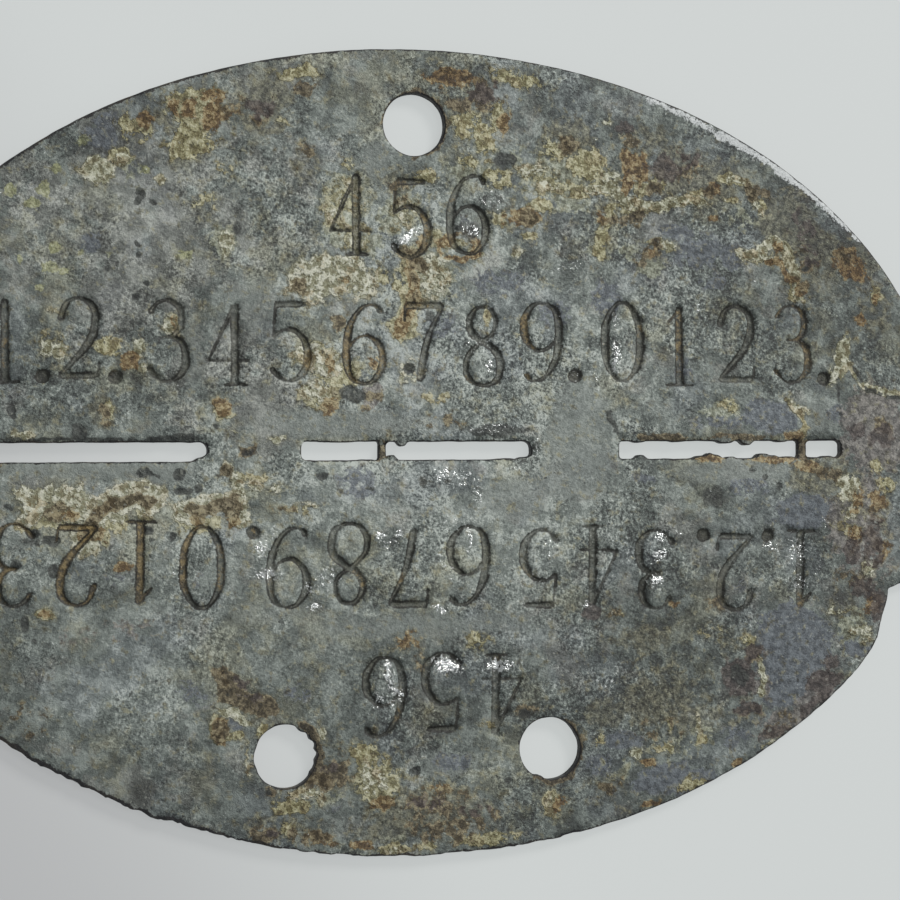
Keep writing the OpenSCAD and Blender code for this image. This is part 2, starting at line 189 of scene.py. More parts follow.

# Stains, charted. A row is x, y, half length, half width, strength, and a turn in degrees if any
STAINS = {
    "pale": [
        (-5, -12.5, 4, 2.6, 0.4), (3, -21, 9, 2.5, 0.35), (18, -19, 4, 2, 0.3), (3, 3.5, 5, 3, 0.25),
        (18, 5, 5, 4, 0.22), (3, -4, 4, 3, 0.18), (5, 12, 5, 4, 0.12), (-5, 4.4, 1.8, 1.8, 0.5),
        (0.1, 9, 1, 2, 0.5), (7.4, 16.2, 1.4, 0.9, 0.4), (-21.4, -4.4, 2.2, 0.6, 0.5),
        (-17.4, -3.9, 1.4, 0.8, 0.5), (-13.6, -4.1, 1.4, 0.7, 0.5), (1, -20.8, 2.6, 1, 0.5),
        (30.2, 0.8, 1.2, 0.8, 0.6), (22.5, 12.8, 1, 1.6, 0.5), (-7.6, 9.4, 1.6, 0.9, 0.3),
        (29.6, -5.8, 0.6, 1.4, 0.4), (-16.6, 9.4, 0.8, 1.8, 0.5), (14.6, -19, 2.5, 1.2, 0.4),
        (18.6, -13, 2, 1.2, 0.4), (25.4, 11, 0.8, 1.4, 0.4), (12.4, 14.7, 2, 0.7, 0.5),
        (16.6, 13.2, 1.6, 0.7, 0.5), (-7, 20.6, 1.4, 1, 0.5), (8.6, -22, 0.8, 1.2, 0.5),
        (19, 17.6, 1.8, 1, 0.3), (-21, 18.4, 1.6, 0.8, 0.5, 25), (-4.4, 15.4, 1.1, 1.6, 0.8),
        (1.8, 13.8, 1.6, 0.7, 0.5), (0.3, 6.6, 0.9, 3, 0.6), (8.6, 9.2, 1.6, 0.9, 0.5),
        (-3.8, -1.4, 1.4, 0.8, 0.7), (-5, 3.2, 1.6, 0.8, 0.5), (5.2, 1.1, 1.4, 0.6, 0.5),
        (3.5, -19.5, 4, 1.2, 0.5), (-24.2, -7.5, 1.6, 2.4, 0.4), (-3.8, -24, 1.2, 0.4, 0.4),
        (23, -1.2, 2.4, 0.6, 0.5), (29.4, -12.6, 0.7, 0.6, 0.5), (-25, 16, 0.8, 1.8, 0.8),
        (-18, -15.8, 2.5, 1, 0.35), (24, 2.4, 1.4, 0.8, 0.35), (28.2, 3.6, 1.4, 1, 0.35),
        (9.2, -10.6, 1, 2, 0.4), (18.5, -16.8, 2, 0.8, 0.35), (5, -19.6, 2, 2.2, 0.8),
        (-13.2, -18.2, 1.6, 2.4, 0.5), (-9.8, -12.3, 1.4, 1, 0.5), (-24.4, -7, 1.8, 3, 0.6),
        (-22.4, -4, 1.6, 1, 0.5), (-13.6, -3.9, 1, 0.9, 0.5), (22.6, -1.5, 2.6, 0.8, 0.6),
        (29.4, -4.6, 0.7, 1.8, 0.5), (18.4, -13, 2.4, 1, 0.4), (-11.2, 16.4, 1.8, 1.3, 0.5),
        (-25, 7.6, 1, 1.6, 0.8), (-17.5, 1.6, 5, 0.7, 0.6), (10.2, 3, 1, 1.5, 0.4),
        (22.6, 14, 0.9, 1.4, 0.4), (14.5, -1.2, 1, 0.8, 0.5), (-22.3, 14, 1.2, 1.9, 0.8),
        (-17.2, 15.2, 1.6, 0.8, 0.6), (-4.5, 15, 1.1, 2, 0.7), (1.7, 13.5, 1.7, 0.8, 0.9),
        (-4, 5.5, 3.4, 2.6, 0.6), (7.3, 15.8, 1, 1, 0.7), (8.6, 7.6, 1, 1.8, 0.5), (14.8, 9, 2.8, 1.6, 0.6),
        (26, 4.5, 1.2, 2.2, 0.6), (-3.8, -1.2, 1.6, 0.9, 1.3), (6, -1.8, 2, 1.1, 0.5),
        (22, -1.6, 3, 0.9, 0.7), (-13.4, -3.6, 1.1, 1.5, 0.6), (-21.5, -4.4, 3.5, 1.2, 0.5),
        (-8.4, -7.6, 2, 1.4, 0.4), (-19, -15.5, 3.5, 1, 0.5), (-20.5, -11.2, 2, 1, 0.3),
        (8.5, -12, 1.5, 2.5, 0.5), (0, -20.8, 3.2, 1.1, 0.6), (4.8, -19.2, 1.6, 1.6, 0.6),
        (6.5, -15.8, 1, 1, 0.4), (19, -17, 2.2, 1, 0.5), (18, -19.7, 3, 0.9, 0.5), (23, 13.5, 1.1, 2, 0.5),
        (10, 18.6, 1.6, 1.8, 0.4), (3.8, 20.6, 3, 1.2, 0.5), (11.4, -5.6, 0.8, 1.3, 0.5),
        (20, -5.6, 1, 1.8, 0.5), (25.3, -8.4, 0.8, 2, 0.5), (29.6, -5, 0.9, 1.8, 0.6),
        (-11, 2, 6, 1.2, 0.3), (23, 2.1, 1.6, 0.8, 0.9), (-19.8, 15.2, 1, 0.6, 0.5), (-3, 10.5, 7.5, 4, 1),
        (-7, -3.5, 9, 2.6, 0.8), (3, -4.5, 8, 3, 0.9), (10, 1, 2.6, 4, 0.8), (9, 6, 6, 3, 0.3),
        (-19, 14, 4, 3, 0.3), (-9, 8, 4, 5, 0.5), (-21, -7, 7, 6, 0.55), (-18, -13.5, 6, 2.4, 0.5),
        (-1, -4, 4, 3, 0.4), (-22, -1.6, 4.5, 0.9, 0.6), (-16.5, 15, 2.4, 1.4, 0.4),
    ],
    "dusk": [
        (-20.4, 13.5, 1.6, 1, 0.5), (-25.6, 13, 0.8, 1.4, 0.5), (-22, 10.2, 1.4, 0.8, 0.4),
        (-21.6, 7, 1.2, 0.9, 0.5), (-25, -16.6, 1.2, 1.4, 0.9, -30), (-15.3, -20.4, 1.6, 0.9, 0.6),
        (-9, -21.6, 1.6, 0.6, 0.4), (18.4, 10.2, 1.2, 1.2, 0.4), (28, -11, 1, 1, 0.4),
        (-11.2, -3.6, 0.8, 1.4, 0.7), (-5.6, 8.2, 0.8, 1.2, 0.7), (-7.2, 3.4, 0.9, 0.9, 0.6),
        (-5.7, 16.8, 0.8, 1, 0.6), (4.7, 16, 1, 0.6, 0.5), (-2.6, 9.6, 0.6, 0.8, 0.6),
        (22.6, -14, 1, 1, 0.4), (24.2, 5.6, 0.9, 1.6, 0.4), (2.8, 23.6, 2, 0.6, 0.6),
        (-6, 12.5, 2.2, 0.8, 1.2), (-15, 20.4, 1.6, 1, 0.4), (15.6, 15, 1.4, 0.8, 0.4),
        (1.6, 11.2, 0.9, 0.7, 1), (-12.2, 9, 1, 0.8, 0.4), (-9.4, 7, 1.2, 1, 0.5), (31.5, 6, 0.6, 1.5, 0.5),
        (-13.3, 3, 1.4, 1, 0.35), (15.6, 2.6, 0.8, 1.5, 0.6), (27.4, -3.4, 1, 1.4, 0.5),
        (-15.4, -12.6, 1.4, 0.8, 0.5), (-22, -13, 1.4, 1.6, 0.4), (12, -16.6, 1.4, 0.6, 0.5),
        (-1.4, -23.6, 1.8, 0.6, 0.5), (31.4, -9.6, 0.5, 0.6, 0.6), (10.8, 5.6, 1, 1, 0.4),
        (5, 12.8, 0.8, 0.8, 0.5), (2, 11.2, 0.8, 0.6, 0.4), (-10, 1.4, 1, 0.8, 0.4),
        (-2, -4.6, 1.2, 0.8, 0.6), (0.6, -2.1, 3, 1.3, 1.2), (-22.5, -11.6, 1.6, 1.6, 1),
        (-19.5, 16.2, 2.4, 2.2, 0.5), (-16, 17, 1.6, 1, 1), (6.6, 19.2, 1, 1, 0.6),
        (1.5, 17.4, 1.4, 0.8, 0.9), (-5.4, 8.4, 1, 1.1, 0.6), (-6, 12.4, 1.6, 0.7, 0.5),
        (-10.4, 3, 1, 2, 0.5), (13.2, 12.3, 2, 1, 0.8), (15.6, 11.2, 1.4, 0.8, 0.6),
        (-23.6, -2.6, 2, 0.7, 0.9), (31, 5.4, 0.8, 2, 0.8), (2.4, 23.6, 1.6, 0.7, 0.7),
        # The first row below is painted shade along the top edge of the left slot
        (-20, 0.78, 6.5, 0.22, 1), (-18.4, 10.6, 1.1, 1.5, 0.5), (-14, 11.6, 1.2, 1.9, 0.7),
        (-10.3, 13, 1.1, 2.4, 0.7), (-12.4, 9, 1, 1, 0.7), (-9.7, 7, 1.3, 1.3, 1.4),
        (-16, 5.2, 1.5, 1.8, 0.8), (-14.5, 3.4, 3, 0.9, 0.7), (-12, 18.4, 1.1, 1, 0.8),
        (-20.5, 18.2, 2, 1.2, 0.5), (16, 15, 1.5, 1, 0.7), (9.7, 13.4, 1.1, 2, 0.8), (19, 9.9, 1.1, 1, 0.5),
        (19, 5.3, 1.1, 1, 0.5), (-1.6, -3.8, 1.5, 1.1, 1), (-6, -4.7, 1.6, 1.3, 1.2),
        (-2.2, -6.6, 0.8, 1.5, 0.9), (12.5, -3, 1, 1.8, 0.9), (16.3, -7.4, 1.5, 1.5, 0.7),
        (13, -9.3, 1.2, 1.1, 0.9), (-17, -8.6, 2.2, 1, 0.7), (-20, -6.6, 1.4, 1, 0.6),
        (-9.2, -13.4, 1.2, 1.1, 0.6), (0, -17.1, 2.6, 1.1, 0.7), (-16, -20.6, 1.8, 0.9, 0.6),
        (8, -23.6, 1.2, 0.9, 0.6), (29, -10.8, 1.6, 1.3, 0.7), (27.8, -8.6, 0.9, 1.2, 0.6),
        # The last two rows below are painted shade that dims the upper right, where the key lamp lights the
        # face more
        (28.6, 6.6, 0.9, 1, 0.6), (24.5, 16.5, 7.5, 3, 1, -35), (27.5, 11, 3, 5, 0.9),
        (12, -13.5, 8, 3, 0.7), (3, -21.5, 9, 3, 0.9), (19, -19, 6, 2.6, 0.6, 30), (28.5, -7, 2.5, 4, 0.5),
        (-13, -20, 6, 3, 0.5, -15), (-19.5, 19.5, 4, 1.6, 0.7, 25), (-25, 6.5, 2, 3.5, 0.5),
        (3.5, 22.5, 7, 1.4, 0.6), (17, -16, 4, 3, 0.5), (-22, 20, 5, 3, 0.5, 20), (21, 11, 7, 4, 0.5, -30),
        (26.5, 0, 3, 7, 0.4), (8, -19.5, 6, 3, 0.4), (-20, 12.6, 1.2, 1, 0.6), (-19.4, 18.9, 1.4, 0.8, 0.8),
        (15, -12, 6, 2, 0.4),
    ],
    "cream": [
        (-6.2, 10.6, 1.3, 1, 1.1, 20), (-4.6, 10.9, 1.2, 0.9, 1.1), (-3.6, 10.3, 0.8, 0.8, 0.9),
        (1, 11, 0.8, 1.3, 0.9), (27.9, 5.8, 0.4, 1.1, 1, -15), (-22, -3, 1.9, 0.8, 1),
        (28.2, -2.6, 0.7, 0.8, 0.8), (29.6, -7.5, 0.4, 0.6, 0.8), (-5.8, 5.1, 0.9, 0.3, 1.1, -8),
        (-11.9, 12.7, 0.3, 0.55, 1.1, 20), (-15.2, 7.6, 0.35, 0.5, 1), (-19.6, 17, 0.75, 0.55, 1.2, 10),
        (-18.3, 17.7, 0.5, 0.3, 0.7, 20), (-22.3, 6.2, 0.7, 0.5, 0.9, -20),
        (-22.1, 8.4, 0.45, 0.7, 0.45, 20), (-17.1, 6.3, 0.3, 0.5, 0.9), (-17, 5.2, 0.2, 0.2, 0.8),
        (-24.1, 0.95, 0.55, 0.22, 1.1, 8), (-12, 12.9, 0.45, 0.6, 0.8, 20),
        (-6.8, 10.7, 1.1, 0.8, 0.85, 20), (-3.4, 10.1, 0.9, 0.5, 0.65), (1.4, 11.8, 0.6, 0.4, 0.65),
        (-6.3, 6, 1.1, 0.5, 0.85, -10), (-5.9, 5.1, 1, 0.28, 1, -8), (-6.3, 3.6, 0.8, 0.5, 0.8, -20),
        (-0.2, 5.1, 0.9, 0.7, 0.45), (-9, 0.8, 0.6, 0.25, 0.6, 10), (6.5, 12.3, 0.4, 0.15, 0.8, 10),
        (7.6, 17.6, 0.9, 0.4, 0.6), (16.3, 15.6, 1.2, 0.2, 0.9, 5), (12.6, 17.2, 0.6, 0.25, 0.7),
        (16.3, 13, 0.5, 0.18, 0.9), (22.2, 12.5, 0.7, 0.3, 0.85, 10), (23.5, 13.2, 0.3, 0.3, 0.8),
        (24.3, 12.4, 0.2, 0.6, 1.1, -25), (23.2, 12.1, 0.5, 0.25, 0.7), (24.9, 11.7, 0.4, 0.3, 0.7),
        (28, 6.5, 0.3, 0.7, 0.9, -15), (27.8, 5.6, 0.5, 0.6, 0.7), (27.4, 4.6, 0.4, 0.4, 0.6),
        (25, 2.6, 0.7, 0.25, 0.7, -30), (30.6, 3.7, 1, 0.2, 0.9, -10), (-24.2, -2.3, 0.6, 0.4, 0.7),
        (-18.6, -3.7, 0.4, 0.45, 1), (-16.1, -3.1, 0.4, 0.4, 0.9), (-14.2, -4.1, 0.4, 0.25, 0.8),
        (-10.3, -2.1, 0.7, 0.22, 0.8, -10), (-9.2, -2.3, 0.5, 0.25, 0.6), (-7.3, -20.8, 0.8, 0.35, 0.9, 10),
        (-2.9, -20, 0.8, 0.9, 0.6), (-6.1, -17.3, 0.25, 0.4, 0.8), (28.2, -2.4, 0.7, 0.8, 0.8),
        (28.7, -3.8, 0.6, 0.9, 0.6), (29, -11.7, 0.7, 0.5, 0.6, -20), (27.5, -10.3, 0.8, 0.3, 0.5),
        (18, -17.3, 0.13, 0.5, 1), (13.9, -19, 0.4, 0.3, 0.8), (22.6, -18.7, 0.4, 0.15, 0.8, 20),
        (-12, -15.8, 0.6, 0.12, 0.8, 10), (-1.7, -24.5, 0.6, 0.25, 0.6), (8.3, -22, 0.35, 0.5, 0.6),
        (-11.2, 1.3, 0.5, 0.4, 0.4), (2.2, 12.6, 0.4, 0.15, 0.6), (12.4, 20.7, 0.25, 0.15, 0.7),
        (-15.9, 16.6, 0.3, 0.25, 0.8), (8.6, 16.6, 1.2, 0.3, 0.5), (14.2, 15.4, 0.8, 0.3, 0.6),
        (-5.2, 14.5, 0.5, 0.6, 0.5), (-3.8, 13.3, 0.7, 0.7, 0.45), (-0.7, 14.7, 0.9, 0.8, 0.5, 30),
        (-4.3, 15.8, 0.9, 0.8, 0.45),
    ],
    "yellow": [
        (-23.4, -3.4, 0.8, 0.5, 0.9), (-16.9, -3.4, 0.5, 0.6, 0.9), (-14.4, -3.9, 0.5, 0.6, 0.9),
        (-6.8, 3.6, 0.5, 0.4, 0.9), (14.6, 16.6, 0.5, 0.5, 0.9), (5.2, 17, 0.8, 0.6, 0.7),
        (-21.5, -3.9, 2.2, 0.6, 1), (-18.8, -4.1, 0.8, 0.6, 0.9), (-13.5, -4.3, 1, 0.5, 1),
        (11, 18, 1.1, 0.8, 0.9), (15.6, 17, 0.7, 0.6, 0.8), (2, 23.8, 1.5, 0.35, 0.4),
        (6.4, 23.2, 1.4, 0.4, 0.8, -10), (-7.2, 23.4, 1, 0.4, 0.8, 10), (-13.7, 21, 0.9, 0.8, 1.2),
        (-5, 4.6, 1.2, 0.7, 0.9), (0.8, 17, 0.6, 0.4, 0.8), (-8, -21.6, 0.9, 0.5, 0.9),
        (4, -24, 1.8, 0.35, 0.8), (-13.9, 19.6, 0.7, 1.2, 1.1), (-6.3, 5.9, 1.1, 0.6, 1),
        (-6.2, 3.4, 1, 0.5, 1), (-13.8, 21, 1.3, 0.9, 1), (-14, 18.6, 1.2, 0.6, 0.9, 10),
        (-14.6, 21.4, 0.6, 0.4, 0.8), (-17.3, 19.7, 1.2, 0.8, 0.6), (-18.3, 17.9, 0.6, 0.4, 0.9, 20),
        (-22.3, 6.3, 0.9, 0.6, 0.7, -20), (-18.9, 6.3, 0.6, 0.5, 0.9), (-15, 7.7, 0.3, 0.5, 1),
        (-19, 2.6, 0.3, 0.5, 0.8), (-12.2, 2.4, 0.6, 0.4, 0.9), (-12, 17.2, 0.7, 0.4, 0.5),
        (-4.3, 15.7, 1.1, 1, 0.7), (-5.2, 14.5, 0.7, 0.8, 0.7), (-3.8, 13.3, 0.9, 0.9, 0.65),
        (-4.2, 17.6, 0.8, 0.4, 0.5), (-0.7, 14.7, 1, 0.8, 0.65, 30), (-6.6, 10.4, 1.3, 1, 0.7),
        (-4.4, 10.8, 1.3, 0.9, 0.7), (-2.2, 10.7, 0.6, 0.6, 0.6), (-1.2, 10.4, 0.4, 0.4, 0.8),
        (1, 10.6, 0.9, 0.7, 0.75), (1.1, 13.3, 0.5, 0.5, 0.9), (2.2, 12.9, 0.6, 0.3, 0.9),
        (3.8, 12.4, 0.4, 0.3, 0.8), (8, 15.4, 0.7, 0.35, 1.1, 10), (5.3, 14.4, 0.4, 0.5, 0.8),
        (7.3, 13.5, 0.5, 0.2, 0.9), (3.3, 20.2, 0.9, 0.9, 0.7), (4.4, 19.6, 0.7, 0.9, 0.75),
        (5.3, 20.9, 0.4, 0.7, 0.9), (3.6, 18.1, 1, 0.5, 0.6), (9, 18.8, 0.9, 0.7, 0.65),
        (7.6, 17.4, 1, 0.5, 0.7), (8.9, 16.6, 1.5, 0.4, 0.8), (10.5, 16.1, 0.6, 0.3, 0.9),
        (12, 16.7, 0.9, 0.6, 0.8), (14.2, 15.4, 1.1, 0.4, 0.9), (17.8, 15.9, 1, 0.3, 0.8),
        (20.7, 17.15, 0.9, 0.2, 1.1, -8), (22.6, 15.6, 0.3, 0.4, 0.9), (20.6, 15.9, 0.5, 0.2, 0.7),
        (18.4, 16.3, 0.4, 0.3, 0.8), (15.3, 13.2, 0.5, 0.15, 1), (16.2, 12.9, 0.6, 0.2, 0.8),
        (22.4, 12.4, 0.9, 0.4, 0.7), (24.7, 10.3, 0.3, 0.7, 0.8), (25.1, 9.6, 0.5, 0.4, 0.7),
        (30.2, 9.8, 0.5, 0.4, 0.8), (20.4, 2.8, 0.7, 0.35, 0.6, -20), (-6.4, 6.2, 1, 0.5, 0.85),
        (-5.9, 3.2, 0.6, 0.35, 0.8), (4.4, 8.6, 0.15, 0.6, 0.9), (1, 3.3, 0.8, 0.4, 0.5),
        (-24, -4.3, 0.5, 0.4, 0.8), (-19.4, -5, 0.25, 0.5, 1), (-11.4, -1.6, 0.4, 0.5, 0.8),
        (-10.2, -1.7, 0.9, 0.4, 0.6), (-7.6, -3.4, 0.9, 0.35, 0.6), (-22.9, -9.7, 0.35, 0.25, 0.9),
        (3.7, -11.7, 0.6, 0.5, 0.65), (-11.9, -17.2, 0.8, 0.2, 0.9, 10), (-9.8, -17, 0.25, 0.6, 0.8),
        (-7.3, -20.9, 0.9, 0.5, 0.7), (-3.6, -18.6, 0.8, 0.7, 0.8), (-2.8, -20.1, 1.1, 1.1, 0.9),
        (-2.6, -21, 1, 0.5, 0.8), (-8.3, -23, 0.6, 0.4, 0.6), (-1.7, -24.4, 0.9, 0.3, 0.9),
        (0.4, -24.3, 0.5, 0.3, 0.7), (8.3, -21.9, 0.5, 0.7, 0.8), (4.7, -16.9, 0.5, 0.2, 0.6),
        (28.4, -4.6, 0.8, 1.5, 0.5), (30.9, -2.2, 0.5, 0.6, 0.7), (30.3, -1, 0.5, 0.4, 0.7),
        (28.9, -11.7, 0.9, 0.7, 0.4), (19, -11.4, 1, 0.6, 0.35), (12.5, -10.2, 0.7, 0.3, 0.5),
        (18.1, -18.2, 0.3, 0.22, 1.1), (16.1, -17.4, 0.2, 0.5, 0.7), (15.8, -18.8, 0.7, 0.3, 0.8),
        (17.5, -21.2, 0.9, 0.4, 0.7, 10), (11.5, -18.2, 0.4, 0.3, 0.7), (12, -21, 0.9, 0.7, 0.45),
        (21.5, -12.2, 0.7, 0.4, 0.6), (-24.5, 18.5, 0.8, 0.6, 0.4), (-13.3, 15.2, 1.2, 0.8, 0.4),
        (-8.7, 20.4, 0.8, 0.6, 0.4), (25.7, -2.3, 0.4, 0.3, 0.5),
    ],
    "umber": [
        (-9.1, 21.7, 1.3, 0.9, 0.9), (-19.3, 2.5, 0.6, 0.9, 0.9), (26.2, -1.8, 1.6, 1, 1),
        (30, -5.5, 1.2, 2.6, 0.55), (-1.2, 16.5, 0.8, 0.9, 0.8), (14, -11.8, 2.2, 0.8, 0.6),
        (18, -17, 1.6, 1, 0.7), (12, -16.4, 1.4, 0.9, 0.7), (-2, -23.4, 2, 0.6, 0.8),
        (18, 17.3, 2.4, 1.4, 0.9, -10), (24.5, 14.2, 2.2, 1.6, 0.9, -40), (26.5, 12.5, 1.6, 1.6, 0.7),
        (15, 19.5, 2, 1.2, 0.6), (10, 19.8, 1.6, 1, 0.7), (3.5, 20.5, 1.8, 1.3, 0.6),
        (0.7, -22, 3.4, 1.4, 0.8), (-9, -22.8, 2.2, 0.9, 0.6), (-9.8, 20.6, 1.6, 1.2, 0.6),
        (-7, 17.6, 1.2, 1.4, 0.5), (-14.5, 20.4, 2.8, 1.6, 0.6), (21, -16.3, 2.6, 1.2, 0.5, 20),
        (15.6, -15.5, 3, 2, 0.6), (27.4, -15, 1.4, 1.6, 0.5, 30), (29.3, -8.5, 1.3, 2.2, 0.5),
        (20.6, -12.6, 1.2, 1.4, 0.5), (30.5, 9, 1.5, 2, 0.5), (12.8, 15.2, 1.8, 1, 0.6),
        (6.5, 14.6, 1.6, 1, 0.6), (-11, -15, 1.8, 1, 0.6, -35), (27.3, -1.6, 1.2, 1, 0.7),
        (-20, -23, 5, 1.5, 0.5, -25),
    ],
    "lime": [
        (3.5, 17.6, 1.5, 0.7, 0.7), (15.2, 11.6, 0.7, 0.6, 0.9), (19.9, 2.6, 1.4, 0.4, 0.8),
        (28.6, -11.2, 0.8, 0.9, 0.7), (-12, 12.8, 0.6, 0.8, 1, 20), (9, 17, 1.6, 1, 1),
        (-4.6, 15, 1, 1.8, 1), (1, 11, 1.1, 1.5, 1), (-4.3, 15.7, 1.2, 1.3, 1), (-4.6, 13.8, 1.1, 1.2, 0.9),
        (-0.9, 14.8, 1.3, 1.1, 0.9, 30), (-3.2, 12.8, 1.2, 0.8, 0.8), (-6.3, 10.7, 1.6, 1.2, 0.7),
        (-3.8, 10.8, 1.2, 1, 0.7), (8.4, 17.2, 1.6, 1, 0.9), (6.6, 18.2, 0.8, 0.7, 0.6),
        (9.6, 15.6, 1.8, 0.6, 0.7), (4.3, 19.4, 1, 1.4, 0.6), (-17.9, 17, 0.9, 0.6, 0.5),
        (14, 12.4, 1.2, 0.9, 0.5), (21.4, 15, 1.2, 0.8, 0.5), (-4, 4.6, 1.6, 1.2, 0.5),
        (28.4, -11.5, 1, 0.8, 0.8, -20), (-2.7, -20, 1.4, 1.2, 0.6), (18, -18, 1.2, 0.9, 0.5),
        (13, -20, 1.5, 0.8, 0.4), (-10.6, -2.2, 0.9, 0.7, 0.6), (11.6, 12.6, 1, 0.6, 0.5),
        (-6.4, -21, 1.4, 0.8, 0.6), (16, -18.5, 1.6, 1, 0.5), (-1.5, -24, 1.2, 0.5, 0.5),
    ],
    "lichen": [
        (-22.1, 17.2, 0.2, 0.35, 0.9), (-22.8, 15.8, 0.3, 0.4, 1), (-24.6, 15.7, 0.35, 0.35, 0.8),
        (-23.5, 14.9, 0.35, 0.25, 1), (-16.8, 17.2, 0.25, 0.3, 0.8), (-20.4, 18.7, 0.35, 0.3, 0.7),
        (-22.2, 12.3, 0.35, 0.25, 0.9, 30), (-24.2, 11.5, 0.2, 0.2, 0.9), (-22.5, 11.1, 0.5, 0.3, 0.7),
        (-21.6, 10.9, 0.3, 0.2, 0.7), (-15, 7.7, 0.3, 0.5, 0.9), (-15.9, 16.6, 0.3, 0.25, 0.9),
        (-14.4, 12, 0.4, 0.3, 0.7), (-23, 10, 0.3, 0.2, 0.6), (-17.7, 17.6, 0.3, 0.25, 0.6),
        (-12.4, 21.8, 0.3, 0.25, 0.8), (-18.9, 11.9, 0.25, 0.2, 0.5), (-20.5, 12.1, 0.3, 0.2, 0.5, 40),
    ],
    "rust": [
        (2.4, 23.2, 1.5, 0.5, 0.9), (-13.9, 20.9, 0.5, 0.5, 0.9), (-21.4, -3.7, 0.9, 0.25, 0.8),
        (-19.3, -3.4, 0.6, 0.3, 0.9, 20), (-13.6, -4, 0.4, 0.3, 0.8), (-2.9, 5.7, 0.3, 0.5, 0.8),
        (8.8, -22, 0.4, 0.4, 0.8), (30.2, -3.4, 0.5, 0.6, 0.8), (-15, 20.9, 0.3, 0.5, 0.7),
        (-11.6, 20.7, 0.9, 0.3, 0.8, 10), (28.7, -5.6, 0.4, 0.6, 0.7), (-12.7, 20.4, 0.5, 0.6, 0.9),
        (-12.6, 21.5, 0.6, 0.4, 0.8), (-16.8, 20.2, 0.5, 0.35, 0.9), (-17.6, 5.6, 0.5, 0.35, 1),
        (-18.2, 5.2, 0.3, 0.2, 0.7), (-15, 7.9, 0.2, 0.3, 0.8), (-12.2, 2.7, 0.45, 0.45, 0.9),
        (6.9, 14.6, 0.8, 0.45, 1.1), (5.5, 14.5, 0.3, 0.4, 0.6), (1.9, 13, 0.5, 0.25, 0.9),
        (0.5, 13, 0.3, 0.4, 0.9), (3.8, 12.5, 0.3, 0.3, 0.8), (5.6, 20.5, 0.3, 0.7, 0.9),
        (13.7, 18.2, 0.4, 0.8, 1), (14.6, 17.7, 0.5, 0.8, 1), (13.6, 16.8, 0.4, 0.6, 0.8),
        (18.3, 18.1, 0.3, 0.2, 0.8), (19.3, 16.6, 0.5, 0.35, 0.9), (19.3, 14.8, 0.3, 0.2, 0.9),
        (12, 14.7, 0.5, 0.4, 0.7), (28.4, 12.2, 0.7, 0.8, 0.9), (28.9, 11.4, 0.7, 0.4, 1),
        (29.2, 8.3, 0.35, 0.22, 1), (30.2, 9.7, 0.4, 0.3, 0.6), (15.3, 12.7, 0.5, 0.45, 0.7),
        (25.3, 10.4, 0.35, 0.5, 0.8), (23.7, 13, 0.3, 0.3, 0.8), (24.6, 0.9, 0.7, 0.2, 1),
        (-5.5, 2.8, 0.4, 0.4, 1), (-5.5, 5.4, 0.25, 0.4, 0.9), (-4.6, 10.6, 0.3, 0.3, 0.7),
        (19, -0.45, 0.9, 0.22, 1.1), (23.5, -0.55, 1.3, 0.14, 1.1), (25.6, -1.1, 0.8, 0.35, 0.9, -20),
        (-20.2, -4.9, 0.65, 0.5, 1), (-18.3, -6.9, 0.6, 0.2, 0.8), (-11.5, -4.2, 0.4, 0.3, 0.7),
        (-0.9, -11.7, 0.7, 0.5, 0.6), (-2.4, -21.5, 0.6, 0.3, 1), (1.2, -20.8, 0.7, 0.3, 0.8),
        (-6.4, -23.6, 0.9, 0.35, 0.8, -20), (-3.8, -24.1, 0.6, 0.25, 0.8), (14.7, -19.6, 0.4, 0.22, 1),
        (20.7, -19.9, 0.4, 0.18, 1), (14.8, -22.3, 0.6, 0.15, 0.9), (-6.4, -20, 0.8, 0.35, 0.7),
        (29.9, -9.9, 0.6, 0.5, 0.9), (30.5, -6.5, 0.5, 0.7, 0.7), (-12.2, -16.6, 0.5, 0.45, 0.7),
        (29, -3.4, 0.5, 0.8, 0.6), (-9.8, 20.4, 0.5, 0.4, 0.5), (-22.9, -9.7, 0.25, 0.2, 0.7),
        (16.6, -9.7, 0.3, 0.12, 0.9), (9.7, 19.3, 0.4, 0.4, 0.6),
    ],
    "brown": [
        (-11.2, 20.9, 0.8, 0.5, 0.6), (-7, 22.4, 0.6, 0.4, 0.9), (4.3, 22.3, 0.7, 0.8, 0.8),
        (7.2, 14.4, 0.35, 0.45, 1.1), (-5.8, -19.8, 1.1, 0.7, 0.8), (-11.8, -1.2, 0.3, 0.4, 0.9),
        (-12.3, -16.9, 0.45, 0.5, 0.9), (30, -5.5, 0.8, 1.6, 0.5), (-22.4, -3.8, 0.6, 0.2, 0.8),
        (14.2, 14.8, 0.3, 0.25, 1.1), (19, 16.4, 0.3, 0.3, 1), (-19.3, 2.4, 0.3, 0.5, 0.8),
        (-9.8, 20.5, 0.8, 0.5, 0.6), (-6.8, 18.3, 0.5, 0.5, 0.6), (-7.3, 10.2, 0.25, 0.6, 0.8),
        (0.2, 11.6, 0.4, 0.5, 0.8), (-0.5, 12.3, 0.6, 0.4, 0.8), (-1.1, 16.2, 0.7, 0.7, 0.5),
        (2.8, 21.5, 0.9, 0.4, 0.8), (4.3, 21.4, 0.6, 0.3, 0.7), (9.8, 19.2, 0.6, 0.5, 0.9),
        (15.3, 16.6, 0.6, 0.4, 0.8), (17.3, 17.8, 0.9, 0.9, 0.6), (13.9, 19.6, 0.6, 0.4, 0.7),
        (22.3, 16.3, 0.7, 0.4, 0.8), (13.4, 14.5, 0.9, 0.3, 0.7), (14.5, 14.8, 0.35, 0.3, 0.9),
        (14.7, 11.9, 0.5, 0.4, 0.6), (25.5, 11.7, 0.5, 0.3, 1), (25.2, 12.7, 0.5, 0.3, 0.7),
